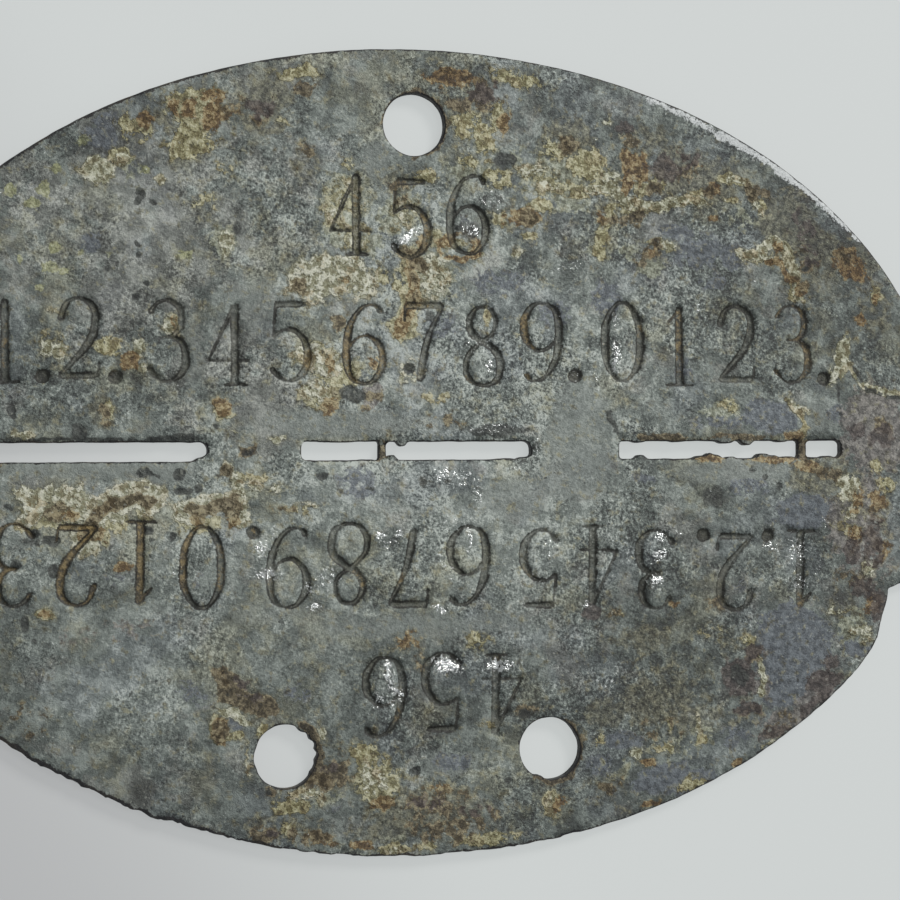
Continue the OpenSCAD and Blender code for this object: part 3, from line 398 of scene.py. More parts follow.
        (25.4, 10.6, 0.3, 0.4, 0.7), (28.3, 12.4, 0.5, 0.5, 0.6), (-4.9, 7.9, 0.35, 0.5, 0.8, 20),
        (-2.9, 3.5, 0.7, 0.3, 0.7), (-3.1, 2.7, 0.4, 0.25, 0.7), (1.6, 1.8, 0.9, 0.35, 0.6),
        (-10.6, -0.1, 0.45, 0.3, 0.9), (15.5, 0.8, 2, 0.18, 0.9), (20.7, 0.85, 1.5, 0.16, 0.9),
        (30.4, 1.6, 0.5, 0.4, 0.8), (31.1, 1.2, 0.4, 0.5, 0.7), (26.8, -1.5, 0.9, 0.35, 0.8),
        (25.3, 0, 0.6, 0.6, 1.2), (-2.2, 0, 0.5, 0.6, 0.8), (-20.3, -4.6, 0.5, 0.4, 0.7),
        (-12.8, -3.4, 0.9, 0.3, 0.9, 10), (-11.5, -3.3, 0.6, 0.5, 0.9), (-8.2, -3.4, 0.8, 0.3, 0.5),
        (-9.3, -20.7, 0.3, 0.25, 0.9), (-10.4, -19.3, 0.3, 0.4, 0.6), (-4.8, -18.8, 0.5, 0.6, 0.6),
        (0.7, -21.7, 2.2, 1, 0.6), (1.8, -23.2, 2.6, 0.9, 0.6), (-6.5, -23.5, 1, 0.4, 0.7),
        (-9.8, -23.2, 0.8, 0.5, 0.8), (6.9, -16.2, 0.8, 0.3, 0.7), (0.2, -13, 0.4, 0.4, 0.6),
        (21.5, -16.5, 0.8, 0.3, 0.7), (24, -17, 0.9, 0.4, 0.5, 30), (23, -17.9, 0.8, 0.4, 0.7, 20),
        (21.8, -13, 0.5, 0.45, 0.8), (19.4, -9.6, 0.5, 0.4, 0.7), (12.4, -10.2, 0.5, 0.3, 0.6),
        (12, -21.2, 0.9, 0.6, 0.6), (28.5, -8.4, 1, 0.6, 0.6), (-14, -3.4, 0.5, 0.3, 0.8),
        (15.6, -17.6, 2, 1, 0.35), (-24, -16, 1.5, 1, 0.35), (-7.6, -23.3, 0.8, 0.4, 0.5),
        (4.4, -22.6, 0.9, 0.6, 0.45), (26.2, 12, 0.5, 0.6, 0.5),
    ],
    "dark": [
        (-17.1, 15.7, 0.17, 0.14, 1.1), (-16.8, 15.5, 0.12, 0.1, 1), (-17.2, 15.05, 0.14, 0.13, 1.2),
        (-16.3, 15.1, 0.13, 0.1, 1.1), (-17.4, 9.4, 0.17, 0.16, 1.1), (-17.4, 12.6, 0.13, 0.12, 1),
        (-17.3, 11.9, 0.14, 0.14, 1), (-16.8, 10.2, 0.17, 0.14, 1.1), (-18.9, 11, 0.22, 0.15, 0.8),
        (-20, 14, 1, 0.7, 0.45), (-19.7, 18.3, 0.6, 0.6, 0.5), (-19.5, 16.25, 0.9, 0.13, 0.5),
        (-18.6, 16.3, 0.4, 0.15, 0.5), (-24.7, 2.65, 0.2, 0.18, 1.2), (-24.6, 2.25, 0.13, 0.12, 1.1),
        (-20.7, 1.42, 0.35, 0.27, 1.2), (-14.7, 2, 0.18, 0.15, 0.8), (-12.6, 1.6, 0.2, 0.14, 0.8),
        (-11.2, 13.6, 0.3, 0.4, 0.7), (5.7, 18.2, 0.6, 0.38, 0.9), (3.2, 13.7, 0.9, 0.6, 0.7),
        (4.9, 15.6, 0.9, 0.7, 0.6), (-4, 3.6, 0.65, 0.42, 1), (-0.4, 5.05, 0.32, 0.22, 1.2),
        (0.8, 8.5, 0.3, 0.35, 0.9), (-10.6, -0.1, 0.4, 0.25, 0.7), (4.9, 1.3, 2.1, 0.4, 0.75),
        (7.6, 0, 0.5, 0.8, 0.55), (1, -1.9, 2.2, 0.8, 0.5), (3.8, -2.7, 0.6, 0.8, 0.5),
        (19.2, -2.9, 0.9, 0.75, 0.75), (20, -2.4, 0.5, 0.4, 0.6), (21.8, -1.3, 0.14, 0.12, 1),
        (22.7, -1.7, 0.17, 0.15, 1.1), (23.6, -2.35, 0.16, 0.14, 1.1), (-17.2, -1.25, 0.16, 0.15, 1.2),
        (-16.8, -1.2, 0.13, 0.12, 1.1), (-16.5, -1.25, 0.12, 0.1, 1.1), (-16, -1.4, 0.12, 0.1, 1),
        (-14.85, -1.35, 0.27, 0.25, 1.2), (-14.8, -2.3, 0.2, 0.15, 1.1), (-14.2, -2.35, 0.1, 0.1, 1),
        (-13.7, -2.25, 0.17, 0.13, 1), (-22.4, -5.3, 0.4, 0.22, 1.1), (-23.4, -4.85, 0.3, 0.2, 1.1),
        (-23.6, -5.3, 0.7, 0.3, 0.7), (-24.6, -6.7, 0.24, 0.2, 1.1), (-22.3, -7, 0.25, 0.35, 1),
        (-16.7, -4.7, 0.27, 0.22, 1), (-15.2, -5.1, 0.22, 0.2, 1), (-24, -10.2, 0.2, 0.4, 1),
        (-25, -3.2, 0.25, 0.2, 0.9), (-18.8, -8.3, 0.9, 0.6, 0.55), (-17.4, -8.4, 0.3, 0.3, 0.5),
        (-23.5, -11.2, 0.2, 0.15, 0.8), (-21, -11.2, 0.3, 0.15, 0.6), (-6.05, -1.4, 0.24, 0.2, 1.1),
        (-3, -2.3, 0.3, 0.15, 0.8), (-0.3, -19.6, 0.28, 0.2, 1.1), (5.7, -20.5, 0.2, 0.2, 1),
        (5.7, -16.2, 0.3, 0.25, 0.9), (7, -16.4, 0.8, 0.3, 0.7), (-9.4, -20.7, 0.25, 0.2, 0.8),
        (20.8, -14.3, 0.75, 0.65, 0.7), (13, -13.3, 1.2, 0.8, 0.4), (16.5, -15.2, 2.4, 1.2, 0.35),
        (16, -17.9, 0.4, 0.35, 0.6), (20.4, -9.3, 1.4, 0.8, 0.3), (26, -16.6, 0.9, 0.3, 0.7, 40),
        (-14.6, -16.5, 0.3, 0.3, 0.7), (-18.3, -16.5, 0.5, 0.15, 0.6, -10), (-13.6, -15, 1, 0.6, 0.4),
        # The first two rows below are painted shade along the top edge of the left slot, where it rolls down
        (-15, 0.85, 1.6, 0.2, 1), (-20, 0.78, 6.5, 0.14, 0.8), (12.6, 1.6, 0.4, 0.9, 0.55, 20),
        (25.5, 11.6, 0.4, 0.2, 0.8), (20.5, 10.5, 1.2, 0.5, 0.4), (-24.9, -9, 0.4, 0.4, 0.5),
        (10.5, -13.9, 1, 0.6, 0.35), (-1, -12.3, 1.3, 0.3, 0.3), (28.8, -7.9, 1.1, 0.5, 0.5),
    ],
    "blue": [
        (17.5, -21, 1.6, 0.6, 0.8, 15), (28.4, -12.6, 0.8, 0.4, 0.9, -30), (13, -18.2, 1.2, 0.5, 0.7),
        (-19.3, 19, 0.9, 0.6, 0.9), (-20, 12.6, 0.7, 0.7, 0.6), (18.2, 12.6, 1.6, 1.2, 0.6),
        (20.6, 12.3, 1, 0.8, 0.65), (19.3, 10.7, 1.2, 0.7, 0.5), (16.8, 13.9, 1.2, 0.5, 0.6),
        (12.2, 9.6, 1, 1.2, 0.6), (23, 2.1, 1.6, 0.8, 0.9, -10), (19.5, 1.8, 1.9, 0.6, 0.5),
        (5, 10.6, 2, 0.9, 0.5), (1.5, 7.8, 1.2, 1, 0.5), (0.5, 4.9, 1.5, 0.8, 0.4),
        (-3.9, -1.7, 1.3, 0.8, 0.55), (-3.6, -2.5, 1.2, 0.5, 0.5), (24.3, -12.6, 1.9, 2.1, 1.2),
        (24, -15.2, 1.6, 0.9, 1, 20), (25.4, -3.9, 1.8, 0.9, 0.8), (22.8, -4.2, 1.2, 0.6, 0.4),
        (15.5, -20.6, 1.9, 0.8, 0.7, 10), (20.4, -18.2, 1.4, 0.7, 0.5), (-14, -14.6, 1.7, 1, 0.42, -20),
        (8.8, 8.6, 1.2, 0.8, 0.5), (-19, 20, 0.9, 0.5, 0.6, 20), (-7.7, -14.8, 0.8, 0.6, 0.5),
        (2, -19.2, 1.5, 0.7, 0.5), (-11.4, -16.4, 0.5, 0.5, 0.8), (29.4, -12.7, 0.5, 0.25, 1.1, -20),
        (14.6, -1.8, 0.8, 0.3, 0.6), (11.5, -19.8, 1.2, 0.8, 0.5), (-13.4, -8, 0.6, 1.2, 0.4),
        (17.2, 5.2, 0.7, 0.6, 0.5), (21.5, -2.3, 1.8, 0.6, 0.5), (-18.5, -7.6, 1.2, 0.8, 0.4),
        (20.8, -8.6, 0.5, 0.8, 0.4), (-5.5, -21.8, 1, 0.6, 0.4), (3, 14, 1.2, 0.8, 0.4),
        (27.5, 2.4, 0.8, 0.8, 0.5),
    ],
    "pink": [
        (25.5, -16.2, 1.6, 0.5, 1, 40), (29.6, -3.4, 0.8, 1.4, 0.9), (-2.9, 3.5, 0.5, 0.8, 0.9),
        (-18, -10.6, 2, 0.8, 0.4), (28.4, -4.8, 1.2, 1.8, 1), (30.2, 1.2, 1.8, 2.2, 1),
        (26.4, -15.3, 0.8, 1.1, 0.9, 20), (20.9, -14.4, 0.9, 1, 0.6), (30, 2, 1.9, 1.7, 0.8),
        (29, 0.6, 1.2, 1, 0.8), (30.9, -0.5, 0.9, 1.4, 0.6), (29.4, -6.8, 1.8, 1.8, 0.6),
        (23.6, -17.2, 1.6, 0.7, 0.6, 25), (22.2, -15, 0.6, 0.9, 0.6), (21.9, -13, 0.7, 0.5, 0.5),
        (-21, -10.9, 1.5, 0.5, 0.4), (18.6, 16.9, 1.5, 1, 0.35), (15.2, 17.3, 0.5, 0.6, 0.7),
    ],
    "plum": [
        (26.5, -14.9, 0.9, 0.6, 1.1), (25.8, -16.3, 0.9, 0.4, 1.1, 30), (20.8, -14.4, 0.85, 0.8, 1.3),
        (21.3, -16.4, 0.8, 0.3, 0.9), (21.8, -12.8, 0.6, 0.4, 0.8), (29.2, -8.9, 0.8, 0.6, 0.75),
        (30.3, -10, 0.5, 0.8, 1), (29.9, -6, 0.7, 1.4, 0.8), (28.4, -6.6, 0.5, 0.8, 0.8),
        (22.9, -18, 0.8, 0.3, 0.9, 20), (16.2, 17.8, 1, 0.7, 0.8), (17.8, 18.4, 0.9, 0.5, 0.6),
        (25.2, 14.4, 1.4, 0.7, 0.55, -40), (25.9, 12.4, 0.6, 0.9, 0.55), (30.6, 0.9, 0.8, 0.7, 0.8),
        (28.9, 1.2, 0.7, 0.5, 0.7), (-10.8, -14.6, 1.3, 0.5, 0.5, -35), (-5.9, -19.4, 0.7, 0.5, 0.5),
        (0.4, -21.5, 1.4, 0.5, 0.5), (3.2, -22.2, 1.2, 0.5, 0.5), (-9.4, -23.1, 0.9, 0.4, 0.5),
        (11.1, -10.1, 0.4, 0.4, 1.1), (27, -13.6, 0.5, 0.4, 0.7), (-9.7, 20.9, 0.9, 0.5, 0.7),
        (13.4, 20.4, 0.8, 0.4, 0.7), (4.4, 22.3, 0.9, 0.6, 0.7),
    ],
    # The rim's painted highlight has no spots, only the trails along the upper right rim
    "painted_rim_sheen": [],
    "gloss": [
        (-0.5, 13.25, 0.75, 0.2, 1.5, 35), (3.5, 13.75, 0.6, 0.4, 1, -30), (4.9, 15.6, 0.8, 0.7, 0.65),
        (4.2, 6.4, 0.7, 0.6, 0.6), (4.6, 5.4, 0.13, 0.4, 1.3, -15), (3.3, 6.7, 0.3, 0.25, 0.9),
        (9.8, 11.6, 0.9, 0.4, 0.75, 20), (9.7, 5, 0.9, 0.8, 0.6), (4.6, 1.45, 1.2, 0.28, 0.85),
        (7.6, 0.1, 0.35, 0.8, 0.75), (12.75, 8.2, 0.2, 0.6, 0.9), (12.8, 6, 0.3, 1.1, 1.1),
        (18.35, 8.9, 0.1, 0.6, 1), (1.6, -1.4, 0.8, 0.3, 1.1), (2.9, -1.5, 0.6, 0.45, 0.9),
        (2.6, -2.2, 0.6, 0.12, 0.9), (3.8, -2.8, 0.3, 0.9, 0.85), (0.2, -1.6, 1.2, 0.5, 0.6),
        (6, -1, 1.5, 0.25, 0.6), (-9.8, -5.8, 0.55, 0.5, 1.1), (-9.5, -7.4, 0.65, 0.38, 1.3),
        (-5.6, -7.7, 0.8, 0.8, 0.8), (-6.9, -8.3, 0.5, 0.4, 0.9), (-6.5, -9.5, 0.4, 0.18, 1.3),
        (-8.9, -4.8, 0.3, 0.4, 0.9), (-2.5, -5, 0.25, 0.2, 1.4), (-1.1, -5, 0.27, 0.18, 1.4),
        (-1.8, -5.6, 0.8, 0.45, 0.8), (1.6, -7, 0.4, 1.1, 0.75, 20), (3.2, -5.3, 0.13, 0.9, 1.2),
        (1.8, -4.4, 0.9, 0.6, 0.65), (8.4, -6.2, 0.7, 1, 0.65), (8.2, -7.9, 0.8, 0.6, 0.5),
        (1.3, -9.7, 0.5, 0.14, 1.4), (10.7, -9.7, 0.3, 0.15, 1.4), (2.7, -8.7, 0.3, 0.4, 0.6),
        (1.7, -13.2, 0.8, 0.45, 1.5), (5, -13.3, 0.8, 0.4, 1.5), (-2, -13.6, 0.25, 0.8, 1.4, 15),
        (-1.5, -14.7, 0.6, 0.25, 1.4, -20), (-2.7, -15.2, 0.3, 0.5, 1), (-1.7, -15.5, 0.5, 0.4, 0.8),
        (12.3, -5.5, 0.35, 0.35, 0.8), (13.5, -6.3, 0.4, 1.1, 0.65), (15.6, -5.4, 0.35, 0.3, 1.3),
        (15.5, -6.6, 0.4, 0.3, 1.3), (15.4, -8.2, 0.45, 0.4, 1.3), (16.8, -5.2, 0.3, 0.12, 1),
        (22.8, -6.1, 0.7, 0.2, 1.1), (24.8, -6.5, 0.6, 0.95, 1.05), (24.8, -8.4, 0.6, 0.45, 1.05),
        (26.25, -7.6, 0.18, 0.7, 0.9), (26.8, -4.8, 0.4, 0.22, 0.7), (12, -14.6, 0.8, 0.35, 0.7),
        (12.8, -13.6, 0.5, 0.3, 0.6), (-15, -7.3, 0.4, 0.3, 0.6), (-18.6, -6.2, 0.2, 0.3, 0.6),
        (13, 10.5, 1.5, 0.5, 0.45), (11.5, 4.6, 0.9, 0.5, 0.6), (-2, -18, 1.5, 0.4, 0.3),
    ],
    "smooth": [
        (1.5, -19.4, 1.1, 0.7, 0.9), (-20.5, -0.9, 4.5, 0.5, 0.8), (-15.5, -1, 1.6, 0.8, 0.7),
        (-5, 1.8, 4.2, 0.8, 0.8), (10.4, 0.6, 1.7, 3.2, 0.9), (-2.5, 17.9, 0.6, 1, 0.9),
        (-11.5, 15.5, 1.5, 1, 0.4), (-14, 5.8, 0.9, 2, 0.5), (-10, 7.8, 0.9, 0.6, 0.5),
        (-0.5, -3.6, 3.5, 0.5, 0.4), (0, -10.8, 7, 0.7, 0.6), (6, -3, 1.8, 1, 0.8),
        (21, -1.4, 3.5, 0.7, 0.8), (5.5, -10.6, 2, 0.8, 0.5), (-4, -4.6, 0.8, 2, 0.4),
        (-18, 15.4, 3, 1, 0.4), (-9.8, 9.4, 2.4, 1.4, 0.5), (26, 2.2, 1.8, 1, 0.6),
        (-9.5, -9.8, 3, 0.8, 0.5), (16, 2.6, 2.5, 0.7, 0.4), (9.5, -1.8, 2, 1.2, 0.7),
    ],
    "ochre": [
        (-19.5, -6.6, 6, 3.2, 1.1), (-2.3, -7, 1.4, 2.6, 0.6), (6.6, 6.7, 0.8, 3, 0.8),
        (16.5, 6.9, 2, 3, 0.7), (24.4, 7, 2.6, 2.8, 0.7), (-4.5, 6.6, 2.2, 3.2, 0.8),
        (-23.5, 6.8, 2, 3, 0.5), (-17.5, 6.8, 1.6, 3, 0.4), (-1, 15, 3, 2.6, 0.6),
        (-1.3, -16.6, 1.2, 1, 0.5), (5, -12.6, 0.8, 0.4, 0.7), (7, -7.8, 0.6, 1.2, 0.5),
        (-1, 7.6, 1, 2, 0.9), (4, 4.4, 1.2, 0.5, 0.5), (-10, -8.5, 2, 1.2, 0.4), (24, -9.8, 2, 1.2, 0.5),
        (11.5, 6.8, 2.4, 2.6, 0.25),
    ],
}

# Random spots where the photo shows nothing: how many on the hidden end and on the back, and their sizes
SMALL = (0.2, 1.4)
LARGE = (0.8, 3)
SPOTS = {
    "pale": (2, 6, (3, 7)), "dusk": (4, 9, (3, 7)), "cream": (10, 60, SMALL), "yellow": (18, 90, SMALL),
    "umber": (5, 16, LARGE), "lime": (5, 12, LARGE), "lichen": (8, 30, SMALL), "rust": (8, 40, SMALL),
    "brown": (12, 70, SMALL), "dark": (16, 110, (0.12, 0.8)), "blue": (8, 35, LARGE), "pink": (4, 20, LARGE),
    "plum": (6, 30, SMALL), "painted_rim_sheen": (0, 0, SMALL), "gloss": (6, 20, SMALL), "smooth": (5, 25, LARGE),
    "ochre": (3, 0, LARGE),
}
SUMMED = ("pale", "dusk")
HIDDEN_END = ((-35, -26.2), (-17, 17))
WHOLE_BACK = ((-34, 34), (-24, 24))
HIDDEN_SEED = 900
BACK_SEED = 950

# Trails of deposit and cracks, charted. A row is kind, half width, strength, and its points
TRAILS = [
    ("cream", 0.75, 1.35, [(-20.4, -5.4), (-20.4, -4.4), (-19.6, -3.5), (-18.5, -2.8), (-17.2, -2.5),
        (-16.3, -2.9)]),
    ("brown", 0.34, 1.3, [(-20.2, -5.1), (-20.1, -4.3), (-19.5, -3.5), (-18.5, -3), (-17.3, -2.7),
        (-16.5, -2.95)]),
    ("cream", 0.5, 1.05, [(-23.9, -4), (-22.8, -3.2), (-21.5, -3), (-20.6, -3.4), (-20, -4.2)]),
    ("brown", 0.18, 0.8, [(-23, -3.8), (-22.3, -3.3), (-21.6, -3.3)]),
    ("cream", 0.55, 1.25, [(-14.5, -3.6), (-13.2, -3.1), (-11.3, -2.9), (-11, -4.1)]),
    ("brown", 0.34, 1.2, [(-14, -3.4), (-12.8, -3.4), (-11.5, -3)]),
    ("cream", 0.12, 0.7, [(-7.7, -3.1), (-7, -3.1), (-6.3, -3.4)]),
    ("yellow", 0.75, 0.9, [(-0.4, 12.2), (-0.3, 10.4), (-0.5, 8.6), (-1, 7.4)]),
    ("rust", 0.34, 1.1, [(-0.4, 12.2), (-0.3, 11), (-0.1, 10), (-0.2, 9), (-0.7, 8.2), (-1.2, 7.3)]),
    ("brown", 0.13, 0.9, [(-0.4, 12), (-0.2, 11), (-0.1, 10), (-0.3, 9)]),
    ("brown", 0.6, 1, [(-12.2, -13.6), (-11.9, -14.6), (-11, -15), (-9.3, -15.6)]),
    ("rust", 0.22, 0.8, [(-12.3, -13.4), (-12.1, -14.2)]),
    ("cream", 0.22, 0.8, [(28.4, 5.6), (29, 4.7), (29.3, 4.1), (30.2, 3.8), (31.9, 3.5)]),
    ("dark", 0.12, 1.1, [(28.7, 5.4), (29.2, 4.6), (29.5, 3.9), (30.3, 3.5), (31.9, 3.2)]),
    ("dark", 0.12, 0.9, [(12.2, 2.4), (12.5, 1.6), (12.9, 0.9)]),
    ("brown", 0.18, 0.9, [(14.9, 12.4), (14.9, 13), (15.4, 13.3), (15.8, 12.9), (15.7, 12.4)]),
    ("cream", 0.16, 0.9, [(24.2, 13.2), (24.3, 12.5), (24.6, 11.9), (25.2, 11.5)]),
    ("cream", 0.14, 0.6, [(-1, 4.4), (-1.2, 5.2), (-0.6, 5.8), (0.2, 5.7), (0.5, 5), (0.1, 4.4),
        (-0.6, 4.3)]),
    ("yellow", 0.2, 0.9, [(-12.6, -16), (-12.9, -16.8), (-12.2, -17.3), (-11.3, -17.2)]),
    ("cream", 0.16, 0.6, [(-6.9, -21.3), (-6.5, -20.9), (-6, -21.1), (-6.2, -21.6)]),
    ("rust", 0.16, 0.9, [(1.4, 12.6), (1.8, 13.3), (3, 13.6), (4, 13), (3.9, 12.2), (2.8, 11.9),
        (1.6, 12.2)]),
    ("umber", 0.2, 0.9, [(-9.5, 20.2), (-9.2, 20.7), (-8.6, 20.7), (-8.3, 20.1), (-8.6, 19.5),
        (-9.3, 19.6)]),
    ("cream", 0.3, 1, [(11, 16.4), (12.4, 16.6), (13.8, 15.6), (15.6, 15.4), (17.4, 15.9), (18.6, 15.8)]),
    ("cream", 0.22, 0.9, [(20.4, 17.2), (21.6, 17.1), (22.2, 16), (22.6, 15.2)]),
    ("yellow", 0.35, 0.9, [(12.6, 15.2), (12.2, 14.2), (11.8, 13), (11.8, 12.2)]),
    ("cream", 0.3, 1.1, [(21.2, 12.6), (22.4, 12.7), (23.4, 13.4), (24.1, 12.9), (24.4, 12), (24.9, 10.8),
        (25.1, 9.6)]),
    ("rust", 0.22, 0.9, [(23, 12), (23.8, 12), (24.3, 11), (25.5, 10.2)]),
    ("yellow", 0.2, 0.9, [(24.2, 3), (25, 2.4), (25.3, 1.6), (25.2, 0.9)]),
    ("dark", 0.14, 0.9, [(27.6, 4.2), (27.7, 3), (27.9, 1.8), (28.2, 0.8)]),
    ("cream", 0.35, 0.95, [(-11.8, -0.9), (-11.4, -1.8), (-11, -2.8)]),
    ("cream", 0.2, 1.4, [(-12.2, -15.7), (-11.4, -15.9), (-10.8, -16.5)]),
    ("rust", 0.25, 0.9, [(-12.5, -16.3), (-12.7, -17), (-12.2, -17.5)]),
    ("cream", 0.15, 0.8, [(-10.6, -17.8), (-10.7, -18.8), (-10.5, -19.6)]),
    ("cream", 0.16, 1, [(22.2, -13.2), (22.4, -14.4), (22.1, -15.6)]),
    ("brown", 0.28, 1.1, [(-7.3, -16.7), (-6.5, -17.5), (-6.25, -18.6), (-6.5, -19.6), (-7, -20.2)]),
    ("brown", 0.15, 0.9, [(-2.1, 20.3), (-1.5, 21.7), (0, 22.3), (1.4, 21.7), (2, 20.3), (1.4, 18.8),
        (0, 18.2)]),
    ("brown", 0.14, 0.9, [(9.4, -16.8), (10.3, -17.8), (10.3, -19.3), (9.4, -20.3), (8.3, -20.6),
        (7.2, -20.2)]),
    # The next four rows paint a highlight: a pale band along the upper right rim, where it catches the key
    # lamp
    ("painted_rim_sheen", 0.2, 0.75, [(15, 22.25), (17.8, 21.15), (19.8, 20.2)]),
    ("painted_rim_sheen", 0.34, 0.9, [(20, 20.1), (21.4, 19.5), (23.8, 18.15)]),
    ("painted_rim_sheen", 0.36, 1.1, [(23.8, 18.15), (26, 16.6), (28, 14.85)]),
    ("painted_rim_sheen", 0.2, 0.9, [(28, 14.85), (29.3, 13.5)]),
]

# Where the bare ground has its own tint: a row is x, y, half length, half width, more yellow, and more red
TINTS = [
    (-18, 12, 10, 6, 0.06, 0.24), (-9.5, 3.5, 2, 3, 0.1, 0.15), (19.8, 5.2, 2, 1.6, 0.16, 0),
    (16.2, 7, 1.3, 1.3, 0.18, 0), (30, 3.3, 2.5, 1.2, 0.16, 0.1), (4.2, 11, 2.5, 1.6, -0.18, 0),
    (9.2, 9.5, 1.6, 4, -0.14, 0), (17.5, 10.6, 3.5, 1.5, -0.16, 0), (28, 7, 2, 1.5, -0.1, 0),
    (6.8, 1.6, 2.5, 1.4, -0.12, 0), (28.5, -7.5, 2.5, 5, -0.16, 0.08), (22, -17.5, 5, 2, -0.16, 0),
    (-23, -8.5, 2, 2, -0.12, -0.05), (-15, -3.5, 3, 1.2, 0.1, 0.1), (-21, -4.2, 4, 1.2, 0.1, 0.1),
    (-23, -18, 3, 3, 0, 0.12), (-17, -20.5, 4, 1.5, 0, 0.12), (15, -13, 4, 3, 0.1, -0.05),
    (24.5, -1.8, 1.5, 1, -0.14, 0), (-5.2, 15.4, 1.6, 1.4, 0, -0.15), (-5, 10.8, 3, 1, 0, -0.12),
]

# Where the ground is finer or rougher: a row is x, y, half length, half width, more grain, and more cloud
TEXTURES = [
    (-8, 20, 6, 4, -0.22, -0.15), (-20, 15, 6, 4, -0.18, 0), (-17, 3, 3.5, 3.5, -0.28, -0.1),
    (-5, 9, 3.5, 3, -0.18, 0), (-22, -3, 5, 3, -0.3, -0.25), (-4, -14, 6, 4, 0.35, -0.5),
    (16, -14, 6, 3.5, 0.35, 0.25), (12.5, 4, 3.5, 3, 0.22, 0.25), (-17, -20, 5, 3, -0.28, 0),
    (31, 9, 3, 3, -0.28, 0), (5, -8.5, 5, 3, -0.2, -0.5), (4, 3, 5, 3, -0.12, -0.3),
    (4, -3, 5, 2.5, 0.15, 0), (-1, 22, 5, 3, -0.1, -0.35), (-11, 3, 3, 4, 0, -0.4), (19, 4, 4, 4, 0, -0.45),
    (13, 9.5, 4, 3, 0, -0.3), (-19, -5, 6, 4, 0, -0.4), (7, -15.5, 3, 3, 0, -0.35),
    (-24, -9, 3, 3, 0, -0.25),
]

# The place where the ground is most grainy, and how far away it is calm
GRAINY_X = 7
GRAINY_Y = 9
GRAINY_REACH_X = 36
GRAINY_REACH_Y = 32

# Pits with a depth of their own: a row is x, y, radius, and depth
PITS = [
    (-24.7, 2.65, 0.22, 0.09), (-24.6, 2.25, 0.15, 0.06), (-20.7, 1.42, 0.36, 0.12),
    (-17.2, 15.05, 0.17, 0.07), (-16.3, 15.1, 0.15, 0.06), (-17.1, 15.7, 0.18, 0.06),
    (-17.4, 9.4, 0.2, 0.07), (-16.8, 10.2, 0.18, 0.06), (-17.2, -1.25, 0.2, 0.09),
    (-16.8, -1.2, 0.15, 0.07), (-16.5, -1.25, 0.15, 0.07), (-14.85, -1.35, 0.3, 0.12),
    (-14.8, -2.3, 0.22, 0.08), (-13.7, -2.25, 0.18, 0.07), (-22.4, -5.3, 0.4, 0.1),
    (-23.4, -4.85, 0.3, 0.09), (-24.6, -6.7, 0.28, 0.09), (-22.3, -7, 0.32, 0.09),
    (-16.7, -4.7, 0.27, 0.07), (-15.2, -5.1, 0.24, 0.07), (-24, -10.2, 0.3, 0.08), (-10.6, -0.1, 0.4, 0.07),
    (-0.4, 5.05, 0.3, 0.12), (0.8, 8.5, 0.3, 0.06), (-6.05, -1.4, 0.25, 0.1), (-0.3, -19.6, 0.3, 0.1),
    (5.7, -20.5, 0.22, 0.08), (19.2, -2.9, 1, 0.06), (20.8, -14.3, 0.8, 0.08), (21.8, -1.3, 0.16, 0.05),
    (22.7, -1.7, 0.2, 0.07), (23.6, -2.35, 0.18, 0.06), (5.7, 18.2, 0.6, 0.06), (-4, 3.6, 0.6, 0.05),
    (-9.4, -20.7, 0.3, 0.07), (5.7, -16.2, 0.3, 0.07), (7, -16.3, 0.7, 0.06), (-15.4, 0.95, 1.1, 0.08),
    (26.5, -14.8, 0.6, 0.06), (15.3, 12.7, 0.4, 0.05),
]

# Lumps that stand up from the face: a row is as for the stains, with a height for the strength
LUMPS = [
    (-19.6, 17, 0.8, 0.6, 0.12, 10), (-18.3, 17.8, 0.5, 0.35, 0.08, 20), (-24.1, 0.95, 0.5, 0.2, 0.1, 8),
    (-20.2, -4.9, 0.6, 0.5, 0.1), (-5.9, 5.1, 0.9, 0.25, 0.08, -8), (-6.6, 10.5, 0.9, 0.8, 0.06),
    (28.3, -2.6, 0.7, 0.9, 0.08), (28, 6.2, 0.35, 0.8, 0.07, -15), (-7.3, -20.8, 0.8, 0.35, 0.08),
    (13.9, 17.8, 0.7, 1, 0.06), (-13.5, 20.6, 1.1, 0.9, 0.06), (24.3, 12.4, 0.25, 0.6, 0.08, -25),
    (29, -11.7, 0.8, 0.6, 0.07, -20), (-2.8, -20.2, 0.9, 1, 0.05), (6.9, 14.6, 0.8, 0.5, 0.05),
    (-17.3, 5.8, 0.7, 0.5, 0.06), (-22.3, 6.2, 0.7, 0.5, 0.05, -20), (8, 15.4, 0.6, 0.3, 0.05, 10),
    (-0.5, 13.3, 0.9, 0.25, 0.06, 35), (-12.2, 2.6, 0.5, 0.4, 0.06), (30.2, 2.2, 1.4, 1.2, 0.05),
]


def grain(x, y, size, seed):
    """Smooth random values from -1 to 1 with features about that size."""
    count = 256
    table = np.random.default_rng(seed).uniform(-1, 1, (count, count))
    u = np.asarray(x, float) / size + 500.3
    v = np.asarray(y, float) / size + 500.7
    i = np.floor(u).astype(int)
    j = np.floor(v).astype(int)
    fu = u - i
    fv = v - j
    fu = fu * fu * (3 - 2 * fu)
    fv = fv * fv * (3 - 2 * fv)
    a = table[i % count, j % count]
    b = table[(i + 1) % count, j % count]
    c = table[i % count, (j + 1) % count]
    d = table[(i + 1) % count, (j + 1) % count]
    return (a * (1 - fu) + b * fu) * (1 - fv) + (c * (1 - fu) + d * fu) * fv


def layers(x, y, size, seed, count=3, share=0.6):
    """Several grains on each other, each half the size of the one before."""
    total = 0.0
    scale = 1.0
    whole = 0.0
    for k in range(count):
        total = total + scale * grain(x, y, size / 2 ** k, seed + 17 * k)
        whole += scale
        scale *= share
    return total / whole


